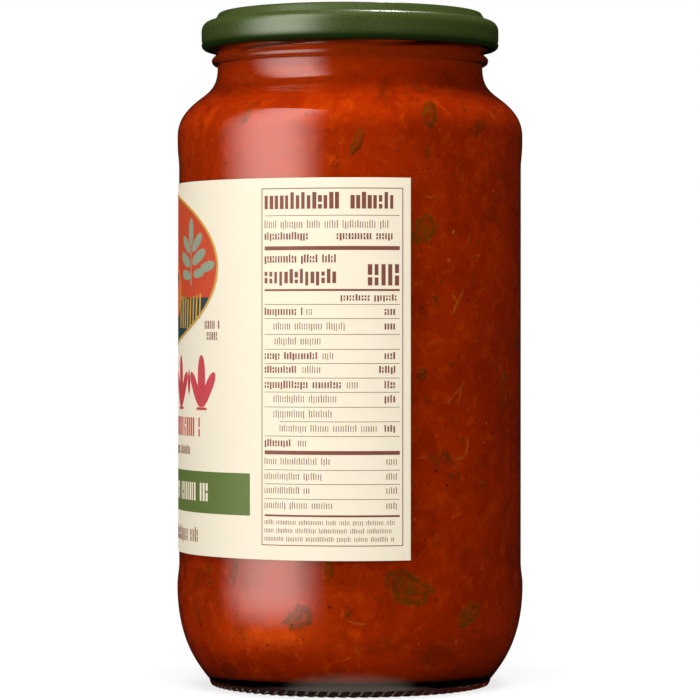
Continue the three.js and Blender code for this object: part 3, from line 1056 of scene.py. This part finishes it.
class SAUCEJAR_OT_bits(bpy.types.Operator):
    """Lay soft tomato pieces, pale shreds, seeds and fine flecks against the glass"""
    bl_idname = "sauce_jar.bits"
    bl_label = "Tomato, shreds, seeds and flecks"

    def execute(self, context):
        draw = random.Random(17)
        wall = WallMap(sauce_wall())
        self.tomato(draw, wall)
        self.shreds(draw, wall)
        self.seeds(draw, wall)
        self.flecks(draw, wall)
        return {'FINISHED'}

    def closed(self, name, parts, thickness, finish):
        """Joins flat parts, gives them their thickness and their finish."""
        piece = joined(name, parts)
        applied(piece, 'SOLIDIFY', thickness=thickness, offset=-1.0)
        smooth(piece, 60.0)
        finish_piece(piece, finish, "sauce")

    def tomato(self, draw, wall):
        places = [(*seen_at(x, y), length, width, math.radians(turn))
                  for x, y, length, width, turn in SEEN_TOMATO]
        for _ in range(MORE_TOMATO):
            length = draw.uniform(1.4, 5.0)
            places.append((*open_glass(draw), length, length * draw.uniform(0.5, 0.9),
                           draw.uniform(0.0, HALF_TURN)))
        parts, rings = [], 2
        for angle, height, length, width, turn in places:
            part = ragged_disc(draw, length, width, rings, TOMATO_CORNERS, 1.0)
            disc_marks(part, TOMATO_CORNERS, rings, draw.random(), 0.0)
            wrapped_on_wall(part, wall, angle, height, turn,
                            lambda x, y: 0.1 - 0.12 * math.hypot(x * 2 / length, y * 2 / width) ** 3)
            parts.append(part)
        self.closed("tomato_bits", parts, 0.00025, sunk_finish("tomato_pulp", tomato_colour))

    def shreds(self, draw, wall):
        places = [(*seen_at(x, y), length, width, math.radians(turn), curl)
                  for x, y, length, width, turn, curl in SEEN_SHREDS]
        for _ in range(MORE_SHREDS):
            places.append((*open_glass(draw), draw.uniform(1.8, 8.0), draw.uniform(0.35, 1.0),
                           draw.uniform(0.0, HALF_TURN), draw.uniform(-2.0, 2.0)))
        parts = []
        for angle, height, length, width, turn, curl in places:
            part = ribbon(draw, length, width, curl)
            seed = draw.uniform(0.0, 40.0)
            wrapped_on_wall(part, wall, angle, height, turn,
                            lambda x, y: 0.05 + 0.1 * noise.noise(Vector((x, y, seed)) * 0.6))
            parts.append(part)
        self.closed("pale_shreds", parts, 0.0002, sunk_finish("onion_shreds", shred_colour, most=0.7))

    def strewn(self, name, grain, parts, angle, finish):
        """Joins the copies of one small grain."""
        thrown_away(grain)
        piece = joined(name, parts)
        smooth(piece, angle)
        finish_piece(piece, finish, "sauce")

    def seeds(self, draw, wall):
        start_clean()
        bpy.ops.mesh.primitive_uv_sphere_add(segments=12, ring_count=7, radius=MM)
        seed = bpy.context.object
        for vertex in seed.data.vertices:
            x = vertex.co.x / MM
            vertex.co = (vertex.co.x * 0.95, vertex.co.y * (0.62 - 0.22 * x), vertex.co.z * 0.22)
        marked(seed, "cover", [0.9] * len(seed.data.vertices))
        places = [seen_at(x, y) for x, y in SEEN_SEEDS] + [open_glass(draw) for _ in range(MORE_SEEDS)]
        parts = []
        for angle, height in places:
            part = copied(seed)
            part.data.transform(Matrix.Scale(draw.uniform(0.4, 0.75), 4))
            wrapped_on_wall(part, wall, angle, height, draw.uniform(0.0, WHOLE_TURN), lambda x, y: 0.02)
            parts.append(part)
        self.strewn("tomato_seeds", seed, parts, 80.0, sunk_finish("seed_skin", seed_colour, 2500.0, 0.7))

    def flecks(self, draw, wall):
        start_clean()
        bpy.ops.mesh.primitive_ico_sphere_add(subdivisions=1, radius=0.0004)
        fleck = bpy.context.object
        for vertex in fleck.data.vertices:
            vertex.co.z *= 0.35
        marked(fleck, "cover", [1.0] * len(fleck.data.vertices))
        lowest, under_label, over_label, highest = 12.0, 34.0, 134.5, 158.0
        left, label_edge, right = -75.0, 22.0, 66.0
        places = [seen_at(x, y) for x, y in SEEN_FLECKS]
        for _ in range(FLECKS_BESIDE):
            places.append((math.radians(draw.uniform(label_edge, right)), draw.uniform(lowest, highest)))
        for _ in range(FLECKS_ROUND):
            angle = math.radians(draw.uniform(left, label_edge))
            heights = (draw.uniform(lowest, under_label), draw.uniform(over_label, highest))
            places.append((angle, draw.choice(heights)))
        places += [open_glass(draw) for _ in range(MORE_FLECKS)]
        parts = []
        for angle, height in places:
            part = copied(fleck)
            long, wide = draw.uniform(0.4, 1.5), draw.uniform(0.35, 0.8)
            part.data.transform(Matrix.Diagonal((long, wide, 1.0, 1.0)))
            marked(part, "tone", [draw.random()] * len(part.data.vertices))
            wrapped_on_wall(part, wall, angle, height, draw.uniform(0.0, HALF_TURN), lambda x, y: 0.02)
            parts.append(part)
        self.strewn("herb_flecks", fleck, parts, 60.0, sunk_finish("herb_fleck", fleck_colour, 2500.0))


# Label and print. A place on the label is its distance round the label's face from angle zero and its
# height above the table, both in millimetres.

def around(angle):
    """Distance round the label's face to this angle."""
    return math.radians(angle) * LABEL_FACE


def wrapped_on_label(piece, face):
    """Bends a flat piece round the jar; face is its radius."""
    for vertex in piece.data.vertices:
        angle = vertex.co.x / MM / LABEL_FACE
        radius = (face + vertex.co.z / MM) * MM
        vertex.co = (radius * math.sin(angle), -radius * math.cos(angle), vertex.co.y)


def cut_upright(piece, spacing=1.5):
    """Cuts a flat piece along upright lines, so that it can bend round the jar."""
    make_active(piece)
    low = min(vertex.co.x for vertex in piece.data.vertices) / MM
    high = max(vertex.co.x for vertex in piece.data.vertices) / MM
    bpy.ops.object.mode_set(mode='EDIT')
    line = math.ceil(low / spacing) * spacing
    while line < high:
        bpy.ops.mesh.select_all(action='SELECT')
        bpy.ops.mesh.bisect(plane_co=(line * MM, 0.0, 0.0), plane_no=(1.0, 0.0, 0.0), use_fill=False,
                            clear_inner=False, clear_outer=False, threshold=1e-7)
        line += spacing
    bpy.ops.object.mode_set(mode='OBJECT')


def flat_field(points):
    """A flat field of print with this outline."""
    start_clean()
    bpy.ops.mesh.primitive_circle_add(vertices=len(points), radius=0.01, fill_type='NGON')
    field = bpy.context.object
    for vertex, (x, y) in zip(field.data.vertices, points):
        vertex.co = (x * MM, y * MM, 0.0)
    return field


def flat_ring(outer, inner):
    """A flat band of print between two outlines with the same number of points."""
    start_clean()
    bpy.ops.mesh.primitive_circle_add(vertices=len(outer), radius=0.01, fill_type='NGON')
    field = bpy.context.object
    bpy.ops.object.mode_set(mode='EDIT')
    bpy.ops.mesh.inset(thickness=0.002, depth=0.0)
    bpy.ops.mesh.delete(type='FACE')
    bpy.ops.object.mode_set(mode='OBJECT')
    for vertex, (x, y) in zip(field.data.vertices, list(outer) + list(inner)):
        vertex.co = (x * MM, y * MM, 0.0)
    return field


def oval(centre, half_width, half_height, count=48, pinch=1.0):
    """Outline of an oval; a pinch above one makes its two ends pointed."""
    points = []
    for step in range(count):
        turn = 2 * math.pi * step / count
        side = math.copysign(abs(math.cos(turn)) ** pinch, math.cos(turn))
        points.append((centre[0] + side * half_width, centre[1] + math.sin(turn) * half_height))
    return points


def turned_points(points, centre, turn):
    cosine, sine = math.cos(turn), math.sin(turn)
    return [(centre[0] + (x - centre[0]) * cosine - (y - centre[1]) * sine,
             centre[1] + (x - centre[0]) * sine + (y - centre[1]) * cosine) for x, y in points]


def printed(name, fields, finish, layer=0):
    """Joins flat fields of one ink, bends them round the label and gives them their thickness."""
    piece = joined(name, fields)
    make_active(piece)
    bpy.ops.object.mode_set(mode='EDIT')
    bpy.ops.mesh.select_all(action='SELECT')
    bpy.ops.mesh.normals_make_consistent(inside=False)
    bpy.ops.object.mode_set(mode='OBJECT')
    cut_upright(piece)
    # All of the print faces away from the jar.
    if piece.data.polygons[0].normal.z < 0:
        piece.data.flip_normals()
    wrapped_on_label(piece, INK_FACE + layer * INK_LAYER)
    applied(piece, 'SOLIDIFY', thickness=sizes().ink_thickness, offset=-1.0)
    smooth(piece, 30.0)
    finish_piece(piece, finish, "label")


class Print:
    """Collects the fields of one ink: bars, and rows of short upright strokes in place of words."""

    def __init__(self, seed):
        self.draw = random.Random(seed)
        start_clean()
        bpy.ops.mesh.primitive_plane_add(size=1.0)
        self.stroke = bpy.context.object
        self.fields = []

    def bar(self, left, right, bottom, top):
        field = copied(self.stroke)
        size = Matrix.Diagonal(((right - left) * MM, (top - bottom) * MM, 1.0, 1.0))
        place = Matrix.Translation(((left + right) / 2 * MM, (bottom + top) / 2 * MM, 0.0))
        field.data.transform(place @ size)
        self.fields.append(field)

    def words(self, left, right, bottom, top, thick, gap, plain=False):
        """Words made of strokes; a few reach above or below the others, and some are split in two."""
        x = left
        tall = top - bottom
        low = bottom if plain else bottom + tall * 0.14
        high = top if plain else top - tall * 0.16
        letters = self.draw.randint(3, 8)
        while x + thick <= right + 0.01:
            kind = self.draw.random()
            width = thick * self.draw.uniform(0.85, 1.15)
            stroke_low = bottom if kind > 0.93 and not plain else low
            stroke_high = top if kind < 0.24 and not plain else high
            if 0.3 < kind < 0.52:
                split = low + (high - low) * self.draw.uniform(0.4, 0.6)
                self.bar(x, x + width, stroke_low, split - thick * 0.3)
                self.bar(x, x + width, split + thick * 0.3, stroke_high)
            else:
                self.bar(x, x + width, stroke_low, stroke_high)
            x += thick + gap
            letters -= 0.5
            if letters <= 0:
                letters = self.draw.randint(3, 8)
                x += thick + gap * 1.6

    def make(self, name, finish, layer=0):
        thrown_away(self.stroke)
        printed(name, self.fields, finish, layer)


class SAUCEJAR_OT_label(bpy.types.Operator):
    """Wrap the paper label round the jar"""
    bl_idname = "sauce_jar.label"
    bl_label = "Paper label"

    def execute(self, context):
        size = sizes()
        start_clean()
        bpy.ops.mesh.primitive_grid_add(x_subdivisions=230, y_subdivisions=12, size=1.0)
        paper = rename(bpy.context.object, "label_paper")
        face = LABEL_FACE * MM
        for vertex in paper.data.vertices:
            angle = size.label_start + (vertex.co.x + 0.5) * (size.label_end - size.label_start)
            height = size.label_bottom + (vertex.co.y + 0.5) * (size.label_top - size.label_bottom)
            vertex.co = (face * math.sin(angle), -face * math.cos(angle), height)
        applied(paper, 'SOLIDIFY', thickness=size.paper_thickness, offset=-1.0)
        smooth(paper, 30.0)
        finish_piece(paper, paper_finish(), "label", "label")
        return {'FINISHED'}


PANEL_LEFT = -23.58
PANEL_TOP = 130.4
PANEL_WIDTH = 37.3
PANEL_HEIGHT = 91.0
FRAME = 0.22               # thickness of the panel's frame
FRINGE = 0.9               # bare paper inside the frame
HALF_RULE = 0.07
# Rows of the info panel: distance below its top, height, and the left and right ends of the words.
BOLD_ROWS = (
    (11.2, 2.2, 0.9, 14.3), (11.2, 2.2, 20.2, 36.1), (16.9, 2.4, 0.9, 20.2), (27.0, 1.9, 21.2, 35.8),
    (30.4, 2.2, 0.9, 11.4), (30.4, 2.2, 32.4, 35.8), (34.1, 2.2, 32.4, 35.8), (41.7, 2.1, 0.9, 15.6),
    (41.7, 2.1, 32.4, 35.8), (45.2, 2.1, 0.9, 10.2), (45.2, 2.1, 31.0, 35.8), (49.0, 2.2, 0.9, 21.6),
    (49.0, 2.2, 32.4, 35.8), (52.6, 2.2, 32.4, 35.8), (60.2, 2.0, 32.4, 35.8), (63.9, 2.1, 0.9, 9.0),
)
LIGHT_ROWS = (
    (8.2, 2.3, 0.9, 33.7), (30.4, 2.2, 12.4, 14.3), (34.1, 2.2, 3.5, 22.7), (37.9, 2.2, 3.8, 16.4),
    (41.7, 2.1, 16.6, 19.6), (45.2, 2.1, 11.4, 17.4), (49.0, 2.2, 22.8, 26.0), (52.6, 2.2, 3.5, 20.2),
    (56.4, 2.2, 3.5, 20.2), (60.2, 2.0, 5.2, 30.4), (63.9, 2.1, 10.2, 12.6), (68.6, 2.0, 0.9, 18.4),
    (68.6, 2.0, 32.9, 35.8), (72.4, 2.0, 0.9, 16.4), (72.4, 2.0, 32.9, 35.8), (76.0, 2.0, 0.9, 13.3),
    (76.0, 2.0, 32.9, 35.8), (79.8, 2.0, 0.9, 19.2), (79.8, 2.0, 32.9, 35.8),
)
THIN_RULES = (7.0, 29.6, 33.2, 37.2, 41.0, 44.6, 48.3, 51.9, 55.7, 63.1, 71.7, 75.3, 79.1)
THICK_RULES = ((14.8, 1.0), (25.7, 0.5), (66.8, 1.0), (83.1, 0.5))


class SAUCEJAR_OT_brown_print(bpy.types.Operator):
    """Print the info panel and the small lines in brown"""
    bl_idname = "sauce_jar.brown_print"
    bl_label = "Brown print"

    def execute(self, context):
        ink = Print(5)
        self.info_panel(ink, PANEL_LEFT, PANEL_TOP)
        self.small_print(ink)
        ink.make("label_print_brown", ink_finish("brown_ink", colours().ink_brown))
        return {'FINISHED'}

    def info_panel(self, ink, left, top):
        """The frame, the rules and the rows of words of the info panel."""
        right, bottom = left + PANEL_WIDTH, top - PANEL_HEIGHT
        ink.bar(left, right, top - FRAME, top)
        ink.bar(left, right, bottom, bottom + FRAME)
        ink.bar(left, left + FRAME, bottom + FRAME, top - FRAME)
        ink.bar(right - FRAME, right, bottom + FRAME, top - FRAME)
        for down in THIN_RULES:
            ink.bar(left + FRINGE, right - FRINGE, top - down - HALF_RULE, top - down + HALF_RULE)
        ink.bar(left + 5.2, right - FRINGE, top - 59.47, top - 59.33)
        for down, height in THICK_RULES:
            ink.bar(left + FRINGE, right - FRINGE, top - down - height, top - down)
        ink.words(left + FRINGE, left + 22.2, top - 6.0, top - 1.1, 0.95, 0.5)
        ink.words(left + 23.7, left + 36.1, top - 6.0, top - 1.1, 0.95, 0.5)
        ink.words(left + FRINGE, left + 21.0, top - 24.8, top - 20.6, 0.85, 0.55)
        ink.words(left + 28.1, left + 36.1, top - 24.8, top - 19.4, 1.0, 0.75, plain=True)
        for down, height, start, end in BOLD_ROWS:
            ink.words(left + start, left + end, top - down - height, top - down, 0.42, 0.34)
        for down, height, start, end in LIGHT_ROWS:
            ink.words(left + start, left + end, top - down - height, top - down, 0.2, 0.42)
        for down in (84.4, 86.5, 88.6):
            ink.words(left + FRINGE, left + 35.0, top - down - 1.4, top - down, 0.16, 0.3)

    def small_print(self, ink):
        """Two marks beside the panel, two lines under the picture and two blocks near the hidden end."""
        ink.words(-44.2, -37.4, 94.6, 96.7, 0.4, 0.4, plain=True)
        ink.words(-43.2, -38.4, 91.7, 93.8, 0.4, 0.4, plain=True)
        ink.words(-99.5, -52.4, 61.4, 64.3, 0.36, 0.42)
        ink.words(-104.4, -47.5, 38.5, 43.0, 0.5, 0.55)
        block_left = -162.0
        for row in range(19):
            top = 128.0 - row * 2.6
            ink.words(block_left, -132.5, top - 1.5, top, 0.2, 0.32)
        for row in range(5):
            top = 58.0 - row * 3.2
            ink.words(block_left, -140.0, top - 1.8, top, 0.36, 0.34)


# Leaves of the picture's sprigs: place from the stem's middle, half length, half width and turn.
SPRIG = (
    (0.0, 9.4, 3.6, 1.5, 88), (-3.4, 6.2, 3.4, 1.4, 145), (3.6, 6.6, 3.5, 1.4, 38),
    (-4.2, 2.2, 3.8, 1.5, 158), (4.4, 2.8, 3.9, 1.5, 24), (-3.6, -1.8, 3.2, 1.3, 172),
    (8.8, 0.2, 3.4, 1.3, 12), (4.6, -1.4, 3.0, 1.2, 8),
)


class SAUCEJAR_OT_front_print(bpy.types.Operator):
    """Print the red frieze, the green band and the oval picture of tomatoes and leaves"""
    bl_idname = "sauce_jar.front_print"
    bl_label = "Front print"

    def execute(self, context):
        self.red_frieze()
        self.green_band()
        self.picture()
        return {'FINISHED'}

    def red_frieze(self):
        """A row of leaf sprigs, each on a short bar, with a drop between them and words underneath."""
        spacing = 15.0
        middle = around(FRONT)
        ink = Print(23)
        for step in range(-2, 3):
            foot = middle + step * spacing
            for x, z, long, wide, turn in ((0.0, 81.2, 6.6, 1.9, 90), (-3.1, 78.8, 5.4, 1.6, 124),
                                           (3.1, 78.8, 5.4, 1.6, 56)):
                centre = (foot + x, z)
                leaf = oval(centre, long, wide, 24, pinch=0.7)
                ink.fields.append(flat_field(turned_points(leaf, centre, math.radians(turn))))
            ink.bar(foot - 2.6, foot + 2.6, 73.5, 74.2)
        for step in (-1.5, -0.5, 0.5, 1.5):
            drop = oval((middle + step * spacing, 80.7), 1.0, 3.4, 16, pinch=1.9)
            ink.fields.append(flat_field(drop))
        ink.words(middle - 30.0, around(-57.4), 66.6, 71.5, 0.85, 0.62, plain=True)
        ink.make("label_print_red", ink_finish("red_ink", colours().ink_red))

    def green_band(self):
        """The green band with cream words on it."""
        middle, right = around(FRONT), around(-34.0)
        ink = Print(29)
        ink.bar(2 * middle - right, right, 46.8, 57.6)
        ink.make("label_print_green", ink_finish("green_ink", colours().ink_green))
        cream = Print(31)
        cream.words(middle - 34.0, around(-52.5), 49.9, 54.6, 0.85, 0.62, plain=True)
        cream.make("label_print_cream", ink_finish("cream_ink", colours().paper, 0.0), layer=1)

    def picture(self):
        """The oval picture, with its ground first and its border last."""
        middle = (around(FRONT), 110.5)
        table_height, corners = 103.6, 96
        whole = oval(middle, 37.6, 20.3, corners)
        table = [point for point in whole if point[1] < table_height]
        hue = colours()
        printed("picture_ground", [flat_field(whole)], ink_finish("brick_ink", hue.ink_brick))
        printed("picture_table", [flat_field(table)], ink_finish("teal_ink", hue.ink_teal, 0.03), layer=1)

        tomatoes, calyx = self.tomatoes(middle)
        leaves = self.herbs(middle)
        stalks = self.stalks(middle)
        border = flat_ring(whole, oval(middle, 36.9, 19.6, corners))
        for name, fields, ink_name, ink, layer in (
                ("picture_tomatoes", tomatoes, "orange_ink", hue.ink_orange, 2),
                ("picture_calyx", calyx, "calyx_ink", hue.ink_teal, 3),
                ("picture_leaves", leaves, "sage_ink", hue.ink_sage, 1),
                ("picture_stalks", stalks, "gold_ink", hue.ink_gold, 3),
                ("picture_border", [border], "border_ink", hue.ink_gold, 4)):
            printed(name, fields, ink_finish(ink_name, ink), layer)

    def tomatoes(self, middle):
        """Three tomatoes in a row, and the five leaves on top of each."""
        tomatoes, calyx = [], []
        for x, y, size in ((-23.0, -5.5, 8.2), (-8.5, -4.0, 9.6), (7.5, -6.0, 8.0)):
            centre = (middle[0] + x, middle[1] + y)
            tomatoes.append(flat_field(oval(centre, size, size * 0.88)))
            top = (centre[0] + 0.4, centre[1] + size * 0.6)
            for turn in range(5):
                leaf = oval((top[0] + size * 0.22, top[1]), size * 0.26, size * 0.07, 12, pinch=0.8)
                calyx.append(flat_field(turned_points(leaf, top, math.radians(200.0 + turn * 35.0))))
        return tomatoes, calyx

    def herbs(self, middle):
        """Two sprigs of leaves, one the mirror of the other."""
        leaves = []
        for foot, side in ((24.0, 1), (-26.0, -1)):
            stem = middle[0] + foot
            for x, y, long, wide, turn in SPRIG:
                centre = (stem + side * x, middle[1] + y)
                slant = math.radians(turn if side > 0 else 180 - turn)
                leaf = oval(centre, long, wide, 20, pinch=0.8)
                leaves.append(flat_field(turned_points(leaf, centre, slant)))
            leaves.append(flat_field([(stem - 0.35, middle[1] - 4.5), (stem + 0.35, middle[1] - 4.5),
                                      (stem + 0.2, middle[1] + 6.0), (stem - 0.2, middle[1] + 6.0)]))
        return leaves

    def stalks(self, middle):
        """A sheaf of stalks on the table."""
        stalks = []
        for step in range(9):
            x = middle[0] + 13.5 + step * 1.9
            low = 99.0 + abs(step - 4) * 0.35
            stalks.append(flat_field([
                (x, low - 5.5 + step * 0.3), (x + 0.75, low - 5.5 + step * 0.3),
                (x + 1.3, low + 3.4), (x + 0.5, low + 3.4)]))
        return stalks


# Studio

class SoftGlow(Nodes):
    """Strength of a light that fades towards its edges; x, y and z tell where a spot of it lies."""

    def __init__(self, light):
        light.data.use_nodes = True
        super().__init__(light.data.node_tree)
        self.x, self.y, self.z = self.split(self.node('ShaderNodeNewGeometry').outputs['Position'])
        self.share = 1.0

    def fade(self, value, dark, bright):
        """Fades the light from where the value is at its bright end to where it is at its dark end."""
        self.share = self.math('MULTIPLY', self.share, self.ranged(value, dark, bright))

    def connect(self, strength):
        self.link(self.math('MULTIPLY', self.share, strength),
                  self.tree.nodes["Emission"].inputs['Strength'])


class SAUCEJAR_OT_stage(bpy.types.Operator):
    """Set the floor, the camera and the soft lights"""
    bl_idname = "sauce_jar.stage"
    bl_label = "Studio"

    def execute(self, context):
        scene = context.scene
        scene.view_settings.view_transform = 'Standard'
        self.floor()
        self.camera(scene)
        self.key_light("key_light", 0.9, 0.0, 0.35, studio().key_glow).visible_glossy = False
        sheen = self.key_light("key_sheen", 0.93, -0.45, 1.55, studio().key_sheen)
        sheen.visible_diffuse = False
        sheen.visible_transmission = True
        self.small_lights()
        self.surroundings(scene)
        return {'FINISHED'}

    def floor(self):
        start_clean()
        bpy.ops.mesh.primitive_circle_add(vertices=96, radius=6.0, fill_type='TRIFAN')
        floor = rename(bpy.context.object, "studio_floor")
        finish = Finish("pale_floor")
        finish.surface(roughness=0.8, specular=0.2)
        speckle = finish.noise(900.0)
        finish.colour(finish.mix(finish.ranged(speckle, 0.3, 0.7, 0.0, 0.04),
                                 (0.86, 0.86, 0.85), (0.8, 0.8, 0.79)))
        glow = finish.node('ShaderNodeEmission')
        glow.inputs['Color'].default_value = (1.0, 1.0, 1.0, 1.0)
        squares = [finish.math('POWER', finish.split(finish.place)[axis], 2.0) for axis in ('X', 'Y')]
        away = finish.math('SQRT', finish.math('ADD', *squares), 0.0)
        finish.show(finish.blend(finish.ranged(away, 0.09, 0.4, 0.75, 1.0),
                                 finish.shader.outputs['BSDF'], glow.outputs['Emission']))
        floor.data.materials.append(finish.material)
        floor.visible_glossy = False
        floor.visible_diffuse = False
        floor.visible_transmission = False

    def camera(self, scene):
        tilt = 0.337           # how far it looks down
        data = bpy.data.cameras.new("photo_camera")
        data.sensor_width = 36.0
        data.lens = 174.9
        data.clip_end = 50.0
        camera = bpy.data.objects.new("photo_camera", data)
        camera.location = (0.0, -studio().camera_distance, studio().camera_height)
        camera.rotation_euler = (math.radians(90.0 - tilt), 0.0, 0.0)
        scene.collection.objects.link(camera)
        scene.camera = camera

    def panel(self, name, angle, distance, low, high, width, power):
        """An upright panel of light that faces the jar's axis, with its sizes in metres."""
        data = bpy.data.lights.new(name, 'AREA')
        data.shape = 'RECTANGLE'
        data.size = width
        data.size_y = high - low
        data.energy = power
        light = bpy.data.objects.new(name, data)
        turn = math.radians(angle)
        light.location = (distance * math.sin(turn), -distance * math.cos(turn), (low + high) / 2)
        light.rotation_euler = (math.radians(90.0), 0.0, turn)
        light.visible_camera = False
        light.visible_transmission = False
        bpy.context.scene.collection.objects.link(light)
        return light

    def key_light(self, name, distance, low, high, strength):
        """A soft panel at the left, brightest in its middle."""
        width = 2.5
        power = width * (high - low) * math.pi
        light = self.panel(name, -48.0, distance, low, high, width, power)
        soft = SoftGlow(light)
        angle = soft.math('ARCTAN2', soft.x, soft.math('MULTIPLY', soft.y, -1.0))
        for dark, bright in ((-98.0, -56.0), (-14.0, -44.0)):
            soft.fade(angle, math.radians(dark), math.radians(bright))
        if low < 0.0:
            soft.fade(soft.z, low + 0.03, 0.0)
        soft.connect(strength)
        return light

    def placed(self, name, size, power, location, turn):
        """A square panel of light at a place of its own; its turn is in degrees."""
        light = self.panel(name, 0.0, 1.0, 0.0, size, size, power)
        light.location = location
        light.rotation_euler = [math.radians(angle) for angle in turn]
        return light

    def small_lights(self):
        """Even light on matt surfaces, a small lamp for the lid's rim and a lit table under the base."""
        top = self.placed("top_light", 0.5, 13.0, (0.0, -0.2, 1.0), (0.0, 0.0, 0.0))
        front = self.panel("front_light", 28.0, 1.2, 0.0, 0.4, 0.8, 7.1)
        back = self.panel("back_light", 172.0, 1.2, 0.0, 1.2, 1.4, 16.0)
        for light in (top, front, back):
            light.visible_glossy = False
        rim = self.placed("rim_lamp", 0.08, 4.0, (0.155, 0.51, 1.1), (-26.0, 5.0, 0.0))
        table = self.placed("table_glow", 0.6, 0.36 * math.pi, (0.0, 0.0, -0.3), (180.0, 0.0, 0.0))
        table.data.color = (1.0, 0.87, 0.67)
        for light in (rim, table):
            light.visible_diffuse = False
        soft = SoftGlow(table)
        away = soft.math('ADD', soft.math('MULTIPLY', soft.x, soft.x),
                         soft.math('MULTIPLY', soft.y, soft.y))
        soft.fade(away, 0.035, 0.006)
        soft.connect(1.2)

    def surroundings(self, scene):
        world = bpy.data.worlds.new("studio_surroundings")
        scene.world = world
        world.use_nodes = True
        nodes = Nodes(world.node_tree)
        nodes.tree.nodes.clear()

        def glow(strength, colour=(1.0, 1.0, 1.0)):
            made = nodes.node('ShaderNodeBackground')
            nodes.give(made.inputs['Color'], colour)
            nodes.give(made.inputs['Strength'], strength)
            return made.outputs['Background']

        path = nodes.node('ShaderNodeLightPath')
        reflected, through, seen = 0.004, 0.012, 1.0
        fill = glow(studio().fill_glow, (1.0, 0.98, 0.95))
        made = nodes.blend(path.outputs['Is Diffuse Ray'], glow(reflected), fill)
        made = nodes.blend(path.outputs['Is Transmission Ray'], made, glow(through))
        made = nodes.blend(path.outputs['Is Camera Ray'], made, glow(seen))
        nodes.link(made, nodes.node('ShaderNodeOutputWorld').inputs['Surface'])


class SAUCEJAR_PT_panel(bpy.types.Panel):
    """Lists the jar's pieces in the sidebar"""
    bl_idname = "SAUCEJAR_PT_panel"
    bl_label = "Sauce jar"
    bl_space_type = 'VIEW_3D'
    bl_region_type = 'UI'
    bl_category = "Sauce jar"

    def draw(self, context):
        column = self.layout.column(align=True)
        for operator in OPERATORS:
            column.operator(operator.bl_idname)
        for group in (sizes(), colours(), studio()):
            box = self.layout.box()
            for name in type(group).__annotations__:
                box.prop(group, name)


GROUPS = {"sauce_jar_sizes": SauceJarSizes, "sauce_jar_colours": SauceJarColours,
          "sauce_jar_studio": SauceJarStudio}
OPERATORS = (
    SAUCEJAR_OT_stage, SAUCEJAR_OT_glass, SAUCEJAR_OT_sauce, SAUCEJAR_OT_leaves, SAUCEJAR_OT_bits,
    SAUCEJAR_OT_lid, SAUCEJAR_OT_label, SAUCEJAR_OT_brown_print, SAUCEJAR_OT_front_print,
)


def register():
    for name, group in GROUPS.items():
        bpy.utils.register_class(group)
        setattr(bpy.types.Scene, name, PointerProperty(type=group))
    for operator in OPERATORS:
        bpy.utils.register_class(operator)
    bpy.utils.register_class(SAUCEJAR_PT_panel)


def unregister():
    bpy.utils.unregister_class(SAUCEJAR_PT_panel)
    for operator in reversed(OPERATORS):
        bpy.utils.unregister_class(operator)
    for name, group in reversed(GROUPS.items()):
        delattr(bpy.types.Scene, name)
        bpy.utils.unregister_class(group)


def main():
    register()
    bpy.ops.sauce_jar.stage()
    bpy.ops.sauce_jar.glass()
    bpy.ops.sauce_jar.sauce()
    bpy.ops.sauce_jar.leaves()
    bpy.ops.sauce_jar.bits()
    bpy.ops.sauce_jar.lid()
    bpy.ops.sauce_jar.label()
    bpy.ops.sauce_jar.brown_print()
    bpy.ops.sauce_jar.front_print()
    start_clean()


if __name__ == "__main__":
    main()
